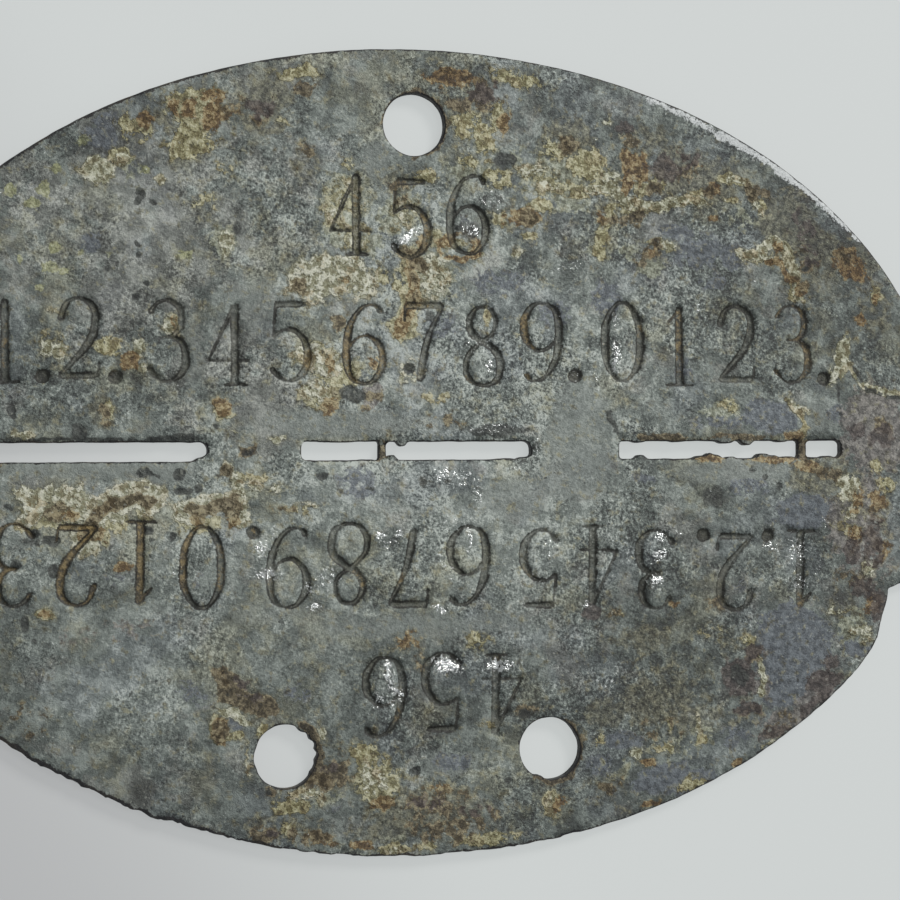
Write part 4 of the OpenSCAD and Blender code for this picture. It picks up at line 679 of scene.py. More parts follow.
def two_sums(x, y, rows):
    """The two values of a chart's rows, each summed over its soft spots."""
    first = np.zeros_like(x)
    second = np.zeros_like(x)
    for cx, cy, long, wide, more_first, more_second in rows:
        near = np.exp(-((x - cx) / long) ** 2 - ((y - cy) / wide) ** 2)
        first += more_first * near
        second += more_second * near
    return first, second


def slow_values(x, y):
    """Broad differences of the surface, about a half, and how grainy and how cloudy its ground is."""
    u = 0.8 * x + 0.6 * y
    v = 0.8 * y - 0.6 * x
    yellower, redder = two_sums(x, y, TINTS)
    more_grain, more_cloud = two_sums(x, y, TEXTURES)
    calm = np.clip(np.hypot((x - GRAINY_X) / GRAINY_REACH_X, (y - GRAINY_Y) / GRAINY_REACH_Y), 0, 1)
    grainy = 1.17 - 0.55 * calm + more_grain
    cloudy = 1.08 - 0.45 * calm + more_cloud
    return {
        "broad": 0.5 + 0.34 * layers(u, v, 7.0, 151, 2, 0.5),
        "tint": 0.5 + redder + 0.36 * layers(u, v, 2.8, 153, 4, 0.75),
        "zone": 0.5 + 0.34 * layers(u, v, 3.2, 155, 3, 0.6),
        "hue": 0.5 + yellower + 0.36 * layers(u, v, 2.8, 157, 3, 0.6),
        "grainy": np.maximum(grainy, 0.3),
        "cloudy": np.maximum(cloudy, 0.25),
    }


def ease(value, low, high):
    """Rises smoothly from 0 at low to 1 at high."""
    t = np.clip((value - low) / (high - low), 0, 1)
    return t * t * (3 - 2 * t)


def turned(points, degrees):
    """The points turned about the middle of the plate."""
    a = math.radians(degrees)
    x, y = points[:, 0], points[:, 1]
    out = points.copy()
    out[:, 0] = x * math.cos(a) - y * math.sin(a)
    out[:, 1] = x * math.sin(a) + y * math.cos(a)
    return out


# Edges of the sheet. Every loop runs with the sheet on its left
def resampled(loop, step):
    """The closed loop with points at an even distance."""
    closed = np.vstack([loop, loop[:1]])
    run = np.concatenate([[0], np.cumsum(np.linalg.norm(np.diff(closed, axis=0), axis=1))])
    count = max(12, int(round(run[-1] / step)))
    at = np.arange(count) / count * run[-1]
    return np.stack([np.interp(at, run, closed[:, 0]), np.interp(at, run, closed[:, 1])], 1)


def inward(loop):
    """Unit directions from the edge into the sheet."""
    along = np.roll(loop, -2, 0) - np.roll(loop, 2, 0)
    along /= np.linalg.norm(along, axis=1)[:, None]
    return np.stack([-along[:, 1], along[:, 0]], 1)


def wear_share(degrees, start, end):
    """1 inside a stretch of the rim, and easing to 0 at its ends."""
    off = (degrees - (start + end) / 2 + 180) % 360 - 180
    return ease((end - start) / 2 + 4 - np.abs(off), 0, 8)


def edge_breadth(x, y):
    """Breadth of the painted shade of the edge along the rim beside each point."""
    degrees = np.degrees(np.arctan2(y / HALF_WIDTH, x / HALF_LENGTH))
    breadth = np.full(len(x), 0.07)
    for start, end, _, size, more in RIM_WEAR:
        breadth += wear_share(degrees, start, end) * more * (0.7 + 0.9 * layers(x, y, size, 27, 3))
    return np.maximum(breadth, 0.05)


def rim_loop():
    """The worn rim of the oval, with the missing piece."""
    degrees = np.arange(RIM_POINTS) * 360 / RIM_POINTS
    a = np.radians(degrees)
    x = HALF_LENGTH * np.cos(a)
    y = HALF_WIDTH * np.sin(a)
    inset = 0.035 + 0.012 * (1 + layers(x, y, 2.2, 11))
    for start, end, depth, size, _ in RIM_WEAR:
        wave = np.clip(0.45 + 1.1 * layers(x, y, size, 23, 3, 0.75), 0, 1.3)
        inset += wear_share(degrees, start, end) * depth * wave
    span = ((degrees - CHIP_ANGLE + 180) % 360 - 180) / CHIP_SPAN
    rows = np.array(CHIP)
    chip = np.interp(span, rows[:, 0], rows[:, 1], 0, 0)
    inset += CHIP_DEPTH * chip + 0.07 * ease(chip, 0, 0.3) * layers(x, y, 0.7, 31)
    return np.stack([(HALF_LENGTH - inset) * np.cos(a), (HALF_WIDTH - inset) * np.sin(a)], 1)


def hole_loop(number):
    """The edge of one cord hole, with its lumps."""
    cx, cy = HOLES[number]
    degrees = -np.arange(HOLE_POINTS) * 360 / HOLE_POINTS
    a = np.radians(degrees)
    r = HOLE_R + 0.025 * layers(np.cos(a) * HOLE_R, np.sin(a) * HOLE_R, 0.8, 41 + number)
    for which, angle, half, height in HOLE_LUMPS:
        if which == number:
            off = (degrees - angle + 180) % 360 - 180
            r -= height * np.exp(-(off / half) ** 2)
    return np.stack([cx + r * np.cos(a), cy + r * np.sin(a)], 1)


def opening_loop(x0, x1, y0, y1, r0, r1):
    """The edge of one opening of a slot, with rounded corners and lumps."""
    corners = [(x0, y0, r0, 180), (x1, y0, r1, 270), (x1, y1, r1, 0), (x0, y1, r0, 90)]
    points = []
    for cx, cy, r, start in corners:
        mx = cx + r if cx == x0 else cx - r
        my = cy + r if cy == y0 else cy - r
        for k in range(7):
            a = math.radians(start + 15 * k)
            points.append((mx + r * math.cos(a), my + r * math.sin(a)))
    loop = resampled(np.array(points)[::-1], SLOT_STEP)
    x, y = loop[:, 0].copy(), loop[:, 1].copy()
    middle = (y0 + y1) / 2
    for lx, side, half, height in SLOT_LUMPS:
        if x0 - 0.3 < lx < x1 + 0.3:
            near = np.exp(-((x - lx) / half) ** 4) * np.clip(side * (y - middle) / 0.5, 0, 1)
            loop[:, 1] -= side * near * height
    rough = 0.03 * layers(x, y, 0.6, 57, 3)
    loop += inward(loop) * rough[:, None]
    return loop


# Stamped digits
def bent(points, steps=3):
    """The smooth curve through a stroke's points. Two points are a straight stroke."""
    p = np.array(points, float)
    if len(p) == 2:
        return p
    out = []
    last = len(p) - 1
    for i in range(last):
        p0, p1, p2, p3 = p[max(i - 1, 0)], p[i], p[i + 1], p[min(i + 2, last)]
        for k in range(steps):
            t = k / steps
            curve = 2 * p1 + (p2 - p0) * t + (2 * p0 - 5 * p1 + 4 * p2 - p3) * t * t
            out.append((curve + (3 * p1 - p0 - 3 * p2 + p3) * t ** 3) / 2)
    out.append(p[last])
    return np.array(out)


def trimmed(path):
    """The stroke a little shorter, because its rounded ends reach out again."""
    out = path.copy()
    for end, beside in ((0, 1), (-1, -2)):
        step = out[beside, :2] - out[end, :2]
        length = np.linalg.norm(step)
        cut = min(0.36 * out[end, 2], 0.45 * length)
        out[end, :2] += step / length * cut
    return out


def row_strokes(row, shift, y):
    """Strokes of one row of characters, with its middle at shift."""
    room = {".": DOT_PITCH, " ": SPACE_PITCH}
    x = shift - sum(room.get(c, DIGIT_PITCH) for c in row) / 2
    strokes = []
    for i, c in enumerate(row):
        advance = room.get(c, DIGIT_PITCH)
        cx = x + advance / 2
        cy = y + DIGIT_WOBBLE * math.sin(math.radians(i * WOBBLE_STEP))
        x += advance
        if c == ".":
            foot = cy + (DOT_D - DIGIT_HEIGHT) / 2
            strokes.append(np.array([[cx, foot, DOT_D], [cx + 0.02, foot, DOT_D]]))
        elif c != " ":
            for points in DIGITS[int(c)]:
                sized = [(px * DIGIT_WIDTH, (py - 0.5) * DIGIT_HEIGHT, w * BOLD) for px, py, w in points]
                strokes.append(trimmed(bent(sized)) + [cx, cy, 0])
    return strokes


def half_strokes(short_shift):
    """Strokes of the two rows in one half of the plate."""
    return row_strokes(LONG_ROW, 0, LONG_ROW_Y) + row_strokes(SHORT_ROW, short_shift, SHORT_ROW_Y)


def all_strokes():
    """Strokes of both halves. The lower one is turned round."""
    upper = half_strokes(UP_SHORT_SHIFT)
    lower = [turned(s, LOW_HALF_TURN) - [0, LOW_HALF_DROP, 0] for s in half_strokes(LOW_SHORT_SHIFT)]
    return upper + lower


def path_distance(x, y, path):
    """Distance from points to a path, less half its breadth there."""
    best = np.full(len(x), 9.0)
    for (ax, ay, aw), (bx, by, bw) in zip(path[:-1], path[1:]):
        dx, dy = bx - ax, by - ay
        t = np.clip(((x - ax) * dx + (y - ay) * dy) / max(dx * dx + dy * dy, 1e-9), 0, 1)
        d = np.hypot(x - ax - t * dx, y - ay - t * dy) - (aw + (bw - aw) * t) / 2
        best = np.minimum(best, d)
    return best


def is_dot(path):
    """Whether the stroke is a full stop."""
    return path[0, 2] == DOT_D


def stroke_distance(x, y, strokes, reach=1.0):
    """Distance to the edge of the nearest stroke, below 0 inside it."""
    best = np.full(len(x), reach)
    for path in strokes:
        low = path[:, :2].min(0) - reach
        high = path[:, :2].max(0) + reach
        near = np.flatnonzero((x > low[0]) & (x < high[0]) & (y > low[1]) & (y < high[1]))
        if len(near):
            best[near] = np.minimum(best[near], path_distance(x[near], y[near], path))
    return best


def stroke_points(path):
    """Points along a stroke: on its middle, and just inside and outside its edges."""
    points = []
    for a, b in zip(path[:-1], path[1:]):
        step = b[:2] - a[:2]
        length = np.linalg.norm(step)
        if length < 0.03:
            continue
        side = np.array([-step[1], step[0]]) / length
        count = max(1, int(round(length / STROKE_STEP)))
        for k in range(count):
            t = (k + 0.5) / count
            middle = a[:2] + step * t
            half = (a[2] + (b[2] - a[2]) * t) / 2
            points.append(middle)
            offsets = [half + 0.08] if half < 0.13 else [half - 0.09, half + 0.07]
            for off in offsets:
                points.append(middle + side * off)
                points.append(middle - side * off)
    return points


def ring_points(x, y, r, count):
    """Evenly spread points on a circle."""
    a = np.arange(count) * 2 * math.pi / count
    return list(np.stack([x + r * np.cos(a), y + r * np.sin(a)], 1))


# Points of the faces
def flat_tree(points):
    """A search tree over flat points."""
    tree = KDTree(len(points))
    for i, (px, py) in enumerate(points):
        tree.insert((px, py, 0), i)
    tree.balance()
    return tree


class Edges:
    """Finds the distance from a point to the nearest edge of the sheet, and which edge it is."""

    def __init__(self, loops):
        self.points = np.vstack(loops)
        self.kind = np.concatenate([np.full(len(loop), i) for i, loop in enumerate(loops)])
        starts = np.cumsum([0] + [len(loop) for loop in loops])
        self.after = np.arange(len(self.points)) + 1
        self.before = np.arange(len(self.points)) - 1
        for start, end in zip(starts[:-1], starts[1:]):
            self.after[end - 1] = start
            self.before[start] = end - 1
        self.tree = flat_tree(self.points)

    def measure(self, x, y):
        """Distance of each point into the sheet, below 0 outside it, and the number of its nearest edge."""
        near = np.array([self.tree.find((px, py, 0))[1] for px, py in zip(x, y)])
        best = np.full(len(x), 1e9)
        side = np.zeros(len(x))
        for other in (self.after, self.before):
            a = self.points[near]
            b = self.points[other[near]]
            step = b - a
            t = np.clip(((x - a[:, 0]) * step[:, 0] + (y - a[:, 1]) * step[:, 1]) / (step ** 2).sum(1), 0, 1)
            d = np.hypot(x - a[:, 0] - t * step[:, 0], y - a[:, 1] - t * step[:, 1])
            cross = step[:, 0] * (y - a[:, 1]) - step[:, 1] * (x - a[:, 0])
            if other is self.before:
                cross = -cross
            side = np.where(d < best, cross, side)
            best = np.minimum(best, d)
        return np.where(side < 0, -best, best), self.kind[near]


def hex_points(step, seed, jitter=0.22):
    """Points of an uneven hexagonal grid over the oval."""
    rng = np.random.default_rng(seed)
    rows = int(2 * HALF_WIDTH / (step * ROW_STEP)) + 2
    columns = int(2 * HALF_LENGTH / step) + 2
    j, i = np.mgrid[0:rows, 0:columns]
    x = -HALF_LENGTH + (i + 0.5 * (j % 2)) * step
    y = -HALF_WIDTH + j * step * ROW_STEP
    x = x.ravel() + rng.uniform(-jitter, jitter, x.size) * step
    y = y.ravel() + rng.uniform(-jitter, jitter, y.size) * step
    inside = (x / HALF_LENGTH) ** 2 + (y / HALF_WIDTH) ** 2 < 1
    return x[inside], y[inside]


def kept_apart(points, gap):
    """The points without those that come closer than about the gap to an earlier one."""
    seen = set()
    out = []
    for p in points:
        cell = (int(p[0] // gap), int(p[1] // gap))
        if cell not in seen:
            seen.add(cell)
            out.append(p)
    return np.array(out)


def away_from(x, y, fixed, gap):
    """The points that are farther than their gap from every fixed point."""
    tree = flat_tree(fixed)
    far = np.array([tree.find((px, py, 0))[2] > g for px, py, g in zip(x, y, gap)])
    return x[far], y[far]


def triangulated(loops, inner, sheet):
    """Triangles between the loops. Returns points, triangles, and where each loop's points are."""
    points = []
    edges = []
    starts = []
    for loop in loops:
        starts.append(len(points))
        count = len(loop)
        edges += [(starts[-1] + k, starts[-1] + (k + 1) % count) for k in range(count)]
        points += [Vector((px, py)) for px, py in loop]
    points += [Vector((px, py)) for px, py in inner]
    verts, _, faces, origins, _, _ = delaunay_2d_cdt(points, edges, [], 0, 1e-5)
    place = {}
    for new, olds in enumerate(origins):
        for old in olds:
            place[old] = new
    xy = np.array([(v.x, v.y) for v in verts])
    tri = np.array([f for f in faces if len(f) == 3])
    a, b, c = xy[tri[:, 0]], xy[tri[:, 1]], xy[tri[:, 2]]
    area = (b[:, 0] - a[:, 0]) * (c[:, 1] - a[:, 1]) - (b[:, 1] - a[:, 1]) * (c[:, 0] - a[:, 0])
    tri[area < 0] = tri[area < 0][:, ::-1]
    tri = tri[np.abs(area) > 1e-7]
    middle = xy[tri].mean(1)
    depth, _ = sheet.measure(middle[:, 0], middle[:, 1])
    tri = tri[depth > 0.05]
    where = [np.array([place[start + k] for k in range(len(loop))]) for start, loop in zip(starts, loops)]
    return xy, tri, where


# Values on the faces
def blob(x, y, row):
    """How strongly a charted spot shows at each point near it, and which points those are."""
    cx, cy, rx, ry, strength, *turn = row
    rx, ry = 1.2 * rx + 0.04, 1.2 * ry + 0.04
    reach = 2.4 * max(rx, ry) + 0.3
    near = np.flatnonzero((np.abs(x - cx) < reach) & (np.abs(y - cy) < reach))
    a = math.radians(turn[0] if turn else 0)
    dx, dy = x[near] - cx, y[near] - cy
    u = (dx * math.cos(a) + dy * math.sin(a)) / rx
    v = (dy * math.cos(a) - dx * math.sin(a)) / ry
    q = u * u + v * v
    return near, strength / (1 + q * q)


def random_rows(seed, count, area, sizes):
    """Rows of spots at random places of the area, as a chart of stains has them."""
    rng = np.random.default_rng(seed)
    rows = []
    for _ in range(count):
        r = rng.uniform(*sizes)
        x = rng.uniform(*area[0])
        y = rng.uniform(*area[1])
        width = r * rng.uniform(0.5, 1)
        turn = rng.uniform(0, 180)
        rows.append((x, y, r, width, rng.uniform(0.4, 1.0), turn))
    return rows


def stain_values(x, y, back):
    """One value a point for every kind of stain."""
    wx = x + 0.22 * layers(x, y, 1.1, 71) + 0.08 * layers(x, y, 0.35, 72, 2)
    wy = y + 0.22 * layers(x, y, 1.1, 73) + 0.08 * layers(x, y, 0.35, 74, 2)
    values = {}
    for number, (kind, charted) in enumerate(STAINS.items()):
        on_end, on_back, sizes = SPOTS[kind]
        if back:
            rows = random_rows(BACK_SEED + number, on_back, WHOLE_BACK, sizes)
        else:
            rows = charted + random_rows(HIDDEN_SEED + number, on_end, HIDDEN_END, sizes)
        value = np.zeros(len(x))
        for row in rows:
            near, v = blob(wx, wy, row)
            value[near] = value[near] + v if kind in SUMMED else np.maximum(value[near], v)
        values[kind] = value
    if back:
        return values
    for kind, half, strength, points in TRAILS:
        path = np.array([(px, py, 0) for px, py in points], float)
        low = path[:, :2].min(0) - 4 * half
        high = path[:, :2].max(0) + 4 * half
        near = np.flatnonzero((x > low[0]) & (x < high[0]) & (y > low[1]) & (y < high[1]))
        q = (path_distance(wx[near], wy[near], path) / half) ** 2
        values[kind][near] = np.maximum(values[kind][near], strength / (1 + q * q))
    return values


def random_pits(x, y, count, seed, sizes, depth):
    """Total depth of many small pits, each with a slightly raised lip."""
    rng = np.random.default_rng(seed)
    total = np.zeros(len(x))
    order = np.argsort(x)
    sorted_x = x[order]
    for _ in range(count):
        cx = rng.uniform(-HALF_LENGTH, HALF_LENGTH)
        cy = rng.uniform(-HALF_WIDTH, HALF_WIDTH)
        r = sizes[0] + (sizes[1] - sizes[0]) * rng.uniform() ** 2
        d = depth * r / sizes[1] * rng.uniform(0.4, 1)
        lo, hi = np.searchsorted(sorted_x, (cx - 2 * r, cx + 2 * r))
        near = order[lo:hi]
        near = near[np.abs(y[near] - cy) < 2 * r]
        q = ((x[near] - cx) ** 2 + (y[near] - cy) ** 2) / (r * r)
        total[near] += d * (1.15 * np.exp(-q * 1.6) - 0.15 * np.exp(-(q - 1.4) ** 2))
    return total


def front_height(x, y, distance, kind, stroke, stains):
    """Height of the stamped face, and how far each point is lifted over the ground around it."""
    z = FACE_Z + 0.014 * layers(x, y, 9, 101, 2) + 0.012 * layers(x, y, 2.4, 103, 3)
    z += 0.012 * layers(x, y, 0.8, 105, 2)
    base = z.copy()
    sunk = np.zeros(len(x))
    rim, slot = kind == 0, kind > len(HOLES)
    hole = ~rim & ~slot
    for at, depth, reach in ((rim, 0.13, 0.5), (hole, 0.1, 0.45), (slot, 0.2, 0.6)):
        sunk[at] = depth * np.clip(1 - distance[at] / reach, 0, 1) ** 2
    z -= sunk
    for cx, cy, r, depth in PITS:
        near = np.flatnonzero((np.abs(x - cx) < 2 * r) & (np.abs(y - cy) < 2 * r))
        q = ((x[near] - cx) ** 2 + (y[near] - cy) ** 2) / (r * r)
        z[near] -= depth * np.exp(-q * 1.3)
    for row in LUMPS:
        near, v = blob(x, y, row)
        z[near] += v * (0.75 + 0.5 * layers(x[near], y[near], 0.5, 107, 2))
    z -= random_pits(x, y, 1500, 109, (0.13, 0.5), 0.07)
    crust = np.clip(np.maximum(stains["cream"], 0.8 * stains["yellow"]), 0, 1)
    rusty = np.clip(np.maximum(stains["rust"], stains["brown"]), 0, 1)
    z += 0.035 * crust * (0.7 + layers(x, y, 0.55, 111, 2))
    z += 0.02 * rusty * layers(x, y, 0.5, 113, 2)
    z += 0.016 * np.clip(stains["gloss"], 0, 1) * layers(x, y, 0.4, 115, 2)
    # How far each point stands over its ground. The material uses it to paint raised places lighter and low
    # places darker, as painted light and shade
    lift = (z + sunk - base) / 0.04
    filled = 0.14 * ease(stains["ochre"], 0.5, 1.2)
    depth = STAMP_DEPTH * (1 - filled) * (1 - ease(stroke, -0.12, 0.07))
    lip = 0.022 * np.exp(-((stroke - 0.2) / 0.12) ** 2) - 0.02 * np.exp(-((stroke - 0.02) / 0.1) ** 2)
    for x0, x1 in BRIDGES:
        bridge = (x > x0) & (x < x1) & (np.abs(y) < BRIDGE_HALF_WIDTH)
        z[bridge] -= 0.3 * ease(0.7 - np.abs(y[bridge]), 0, 0.2)
    z = np.minimum(z, TOP_Z)
    return np.minimum(z - depth + lip, TOP_Z), lift


def back_height(x, y, distance, stroke, stains):
    """Height of the back, which swells a little behind the strokes."""
    z = BACK_Z + 0.012 * layers(x, y, 6, 121, 2) + 0.01 * layers(x, y, 1.6, 123, 2)
    z -= 0.022 * (1 - ease(stroke, -0.3, 0.5))
    z += random_pits(x, y, 700, 125, (0.3, 0.9), 0.05)
    z += 0.05 * np.clip(1 - distance / 0.5, 0, 1) ** 2
    z -= 0.015 * np.clip(stains["cream"], 0, 1)
    return np.maximum(z, 0.0)


# The plate
def fixed_points(loops, ways, strokes, edges):
    """Points of the front face that follow its edges, strokes, dots and pits."""
    fixed = []
    for inset, every in ((0.24, 1), (0.42, 2), (0.64, 2)):
        fixed += list((loops[0] + ways[0] * inset)[::every])
    for loop, way in zip(loops[1:], ways[1:]):
        fixed += list(loop + way * 0.24)
    for path in strokes:
        fixed += stroke_points(path)
        if is_dot(path):
            for r, count in ((0.2, 6), (0.36, 12), (0.52, 16)):
                fixed += ring_points(path[0, 0], path[0, 1], r, count)
    for cx, cy, r, _ in PITS:
        fixed += ring_points(cx, cy, 0.95 * r, 10) + ring_points(cx, cy, 0.5 * r, 6) + [np.array((cx, cy))]
    fixed = kept_apart(fixed, 0.075)
    depth, _ = edges.measure(fixed[:, 0], fixed[:, 1])
    return fixed[depth > FACE_INSET + 0.06]


def front_points(loops, ways, strokes, edges):
    """The fixed points of the front face, and an even spread of points between them."""
    fixed = fixed_points(loops, ways, strokes, edges)
    x, y = hex_points(FRONT_STEP, 5)
    far_x, far_y = hex_points(HIDDEN_STEP, 6)
    seen = x > VIEW_LEFT
    hidden = far_x <= VIEW_LEFT
    x = np.concatenate([x[seen], far_x[hidden]])
    y = np.concatenate([y[seen], far_y[hidden]])
    step = np.where(x > VIEW_LEFT, FRONT_STEP, HIDDEN_STEP)
    depth, _ = edges.measure(x, y)
    inside = depth > FACE_INSET + 0.1
    x, y = away_from(x[inside], y[inside], fixed, 0.6 * step[inside])
    return np.vstack([fixed, np.stack([x, y], 1)])


def back_points(edges):
    """An even spread of points over the back."""
    x, y = hex_points(BACK_STEP, 7)
    depth, _ = edges.measure(x, y)
    inside = depth > FACE_INSET + 0.25
    return np.stack([x[inside], y[inside]], 1)


def gather(values, parts, count, **others):
    """Adds the values of some more points under every name. A single number stands for all of them."""
    for name, value in list(parts.items()) + list(others.items()):
        values.setdefault(name, []).append(np.full(count, value) if np.isscalar(value) else value)


def front_side(xy, strokes, edges, values):
    """The points of the stamped face, and every value of theirs in values."""
    x, y = xy[:, 0], xy[:, 1]
    distance, kind = edges.measure(x, y)
    stroke = stroke_distance(x, y, strokes) + 0.04 * layers(x, y, 0.45, 117, 2)
    stains = stain_values(x, y, False)
    for path in strokes:
        if is_dot(path):
            r = np.hypot(x - path[0, 0], y - path[0, 1])
            stains["dark"] = np.maximum(stains["dark"], 1.15 * np.exp(-(r / 0.4) ** 4))
    z, lift = front_height(x, y, distance, kind, stroke, stains)
    # The dark edge along every rim is painted shade, where the rounded edge turns away from the light. It is
    # broader on the worn stretches
    edge = np.clip(distance - np.where(kind == 0, edge_breadth(x, y), 0.08), -1, 1)
    gather(values, stains, len(x), stroke=stroke, edge=edge, wall=0.0, lift=np.clip(lift, -2, 2))
    gather(values, slow_values(x, y), len(x))
    return np.stack([x, y, z], 1)


def back_side(xy, strokes, edges, values):
    """The points of the back, and every value of theirs in values."""
    x, y = xy[:, 0], xy[:, 1]
    distance, _ = edges.measure(x, y)
    stains = stain_values(x, y, True)
    z = back_height(x, y, distance, stroke_distance(x, y, strokes), stains)
    edge = np.clip(distance - 0.1, -1, 1)
    gather(values, stains, len(x), stroke=1.0, edge=edge, wall=0.0, lift=np.clip((BACK_Z - z) / 0.03, -2, 2))
    gather(values, slow_values(x, y), len(x))
    return np.stack([x, y, z], 1)


def wall_rings(loop, way, upper, values):
    """The rings of one wall, from the stamped face down to the back."""
    x, y = loop[:, 0], loop[:, 1]
    stains = stain_values(x, y, False)
    for name in ("gloss", "cream"):
        stains[name] = stains[name] * 0.6
    rings = []
    for level, (inset, share) in enumerate(WALL):
        rough = inset + 0.012 * (1 + layers(x, y + 7 * share, 0.5, 131 + level, 2))
        z = upper * share + 0.02 * (share < 0.8) * layers(x + 3, y, 0.7, 141 + level, 2)
        rings.append(np.column_stack([loop + way * rough[:, None], z]))
        # How much painted shade each ring of the wall gets
        shown = min(1.0, (level + 1) / 3)
        gather(values, stains, len(loop), stroke=1.0, edge=-0.1, wall=shown, lift=0.0)
        gather(values, slow_values(x + z, y + z), len(loop))
    return rings


def plate_mesh():
    """The whole surface: the stamped face, the back, and the rings of every wall between them."""
    holes = [hole_loop(number) for number in range(len(HOLES))]
    loops = [rim_loop()] + holes + [opening_loop(*row) for row in OPENINGS]
    edges = Edges(loops)
    strokes = all_strokes()
    ways = [inward(loop) for loop in loops]
    face_loops = [loop + way * FACE_INSET for loop, way in zip(loops, ways)]
    front_xy, front, front_where = triangulated(face_loops, front_points(loops, ways, strokes, edges), edges)
    back_xy, back, back_where = triangulated(face_loops, back_points(edges), edges)

    values = {}
    vertices = [front_side(front_xy, strokes, edges, values), back_side(back_xy, strokes, edges, values)]
    start = len(front_xy) + len(back_xy)
    quads = []
    for loop, way, front_ring, back_ring in zip(loops, ways, front_where, back_where):
        count = len(loop)
        walls = wall_rings(loop, way, vertices[0][front_ring, 2], values)
        vertices += walls
        rings = [front_ring] + [start + k * count + np.arange(count) for k in range(len(walls))]
        rings.append(back_ring + len(front_xy))
        start += len(walls) * count
        after = np.roll(np.arange(count), -1)
        quads += [np.stack([a, b, b[after], a[after]], 1) for a, b in zip(rings[:-1], rings[1:])]

    vertices = np.vstack(vertices)
    triangles = front.tolist() + (back[:, ::-1] + len(front_xy)).tolist()
    mesh = bpy.data.meshes.new("tag_plate_worn")
    mesh.from_pydata((vertices * MM).tolist(), [], triangles + np.vstack(quads).tolist())
    for name, parts in values.items():
        layer = mesh.attributes.new(name, "FLOAT", "POINT")
        layer.data.foreach_set("value", np.concatenate(parts).astype(np.float32))
    add_uv(mesh, vertices, len(front), len(back), [len(strip) for strip in quads])
    mesh.shade_smooth()
    return mesh


# The picture that the surface is laid out in, as shares of its side
PICTURE_EDGE = 0.01
FRONT_WIDTH = 0.98
FRONT_FOOT = 0.29
BACK_HEIGHT = 0.26
STRIP_LEFT = 0.39
STRIP_WIDTH = 0.6
STRIP_FOOT = 0.012
STRIP_STEP = 0.0041
STRIP_HEIGHT = 0.0037


def add_uv(mesh, vertices, front_count, back_count, strips):
    """Flat views of the two faces, and a strip for every ring of the walls."""
    total = front_count + back_count
    uv = np.zeros((len(mesh.loops), 2))
    index = np.zeros(len(mesh.loops), int)
    mesh.loops.foreach_get("vertex_index", index)
    place = vertices[index]
    front = slice(0, 3 * front_count)
    back = slice(3 * front_count, 3 * total)
    big = FRONT_WIDTH / (2 * HALF_LENGTH)
    small = BACK_HEIGHT / (2 * HALF_WIDTH)
    uv[front, 0] = PICTURE_EDGE + (place[front, 0] + HALF_LENGTH) * big
    uv[front, 1] = FRONT_FOOT + (place[front, 1] + HALF_WIDTH) * big
    uv[back, 0] = PICTURE_EDGE + (HALF_LENGTH - place[back, 0]) * small
    uv[back, 1] = PICTURE_EDGE + (place[back, 1] + HALF_WIDTH) * small
    at = 3 * total
    for row, count in enumerate(strips):
        upper = np.full(count, STRIP_FOOT + STRIP_STEP * row)
        lower = upper + STRIP_HEIGHT
        left = STRIP_LEFT + STRIP_WIDTH * np.arange(count) / count
        right = left + STRIP_WIDTH / count
        pairs = ((left, lower), (left, upper), (right, upper), (right, lower))
        corners = [np.stack(pair, 1) for pair in pairs]
        uv[at:at + 4 * count] = np.stack(corners, 1).reshape(-1, 2)
        at += 4 * count
    layer = mesh.uv_layers.new(name="OFBake")
    layer.data.foreach_set("uv", uv.ravel().astype(np.float32))


# Materials
def srgb(red, green, blue):
    """A colour as the shader takes it, from its parts of 0 to 255 in a picture."""
    parts = [value / 255 for value in (red, green, blue)]
    return tuple(c / 12.92 if c <= 0.04045 else ((c + 0.055) / 1.055) ** 2.4 for c in parts) + (1.0,)


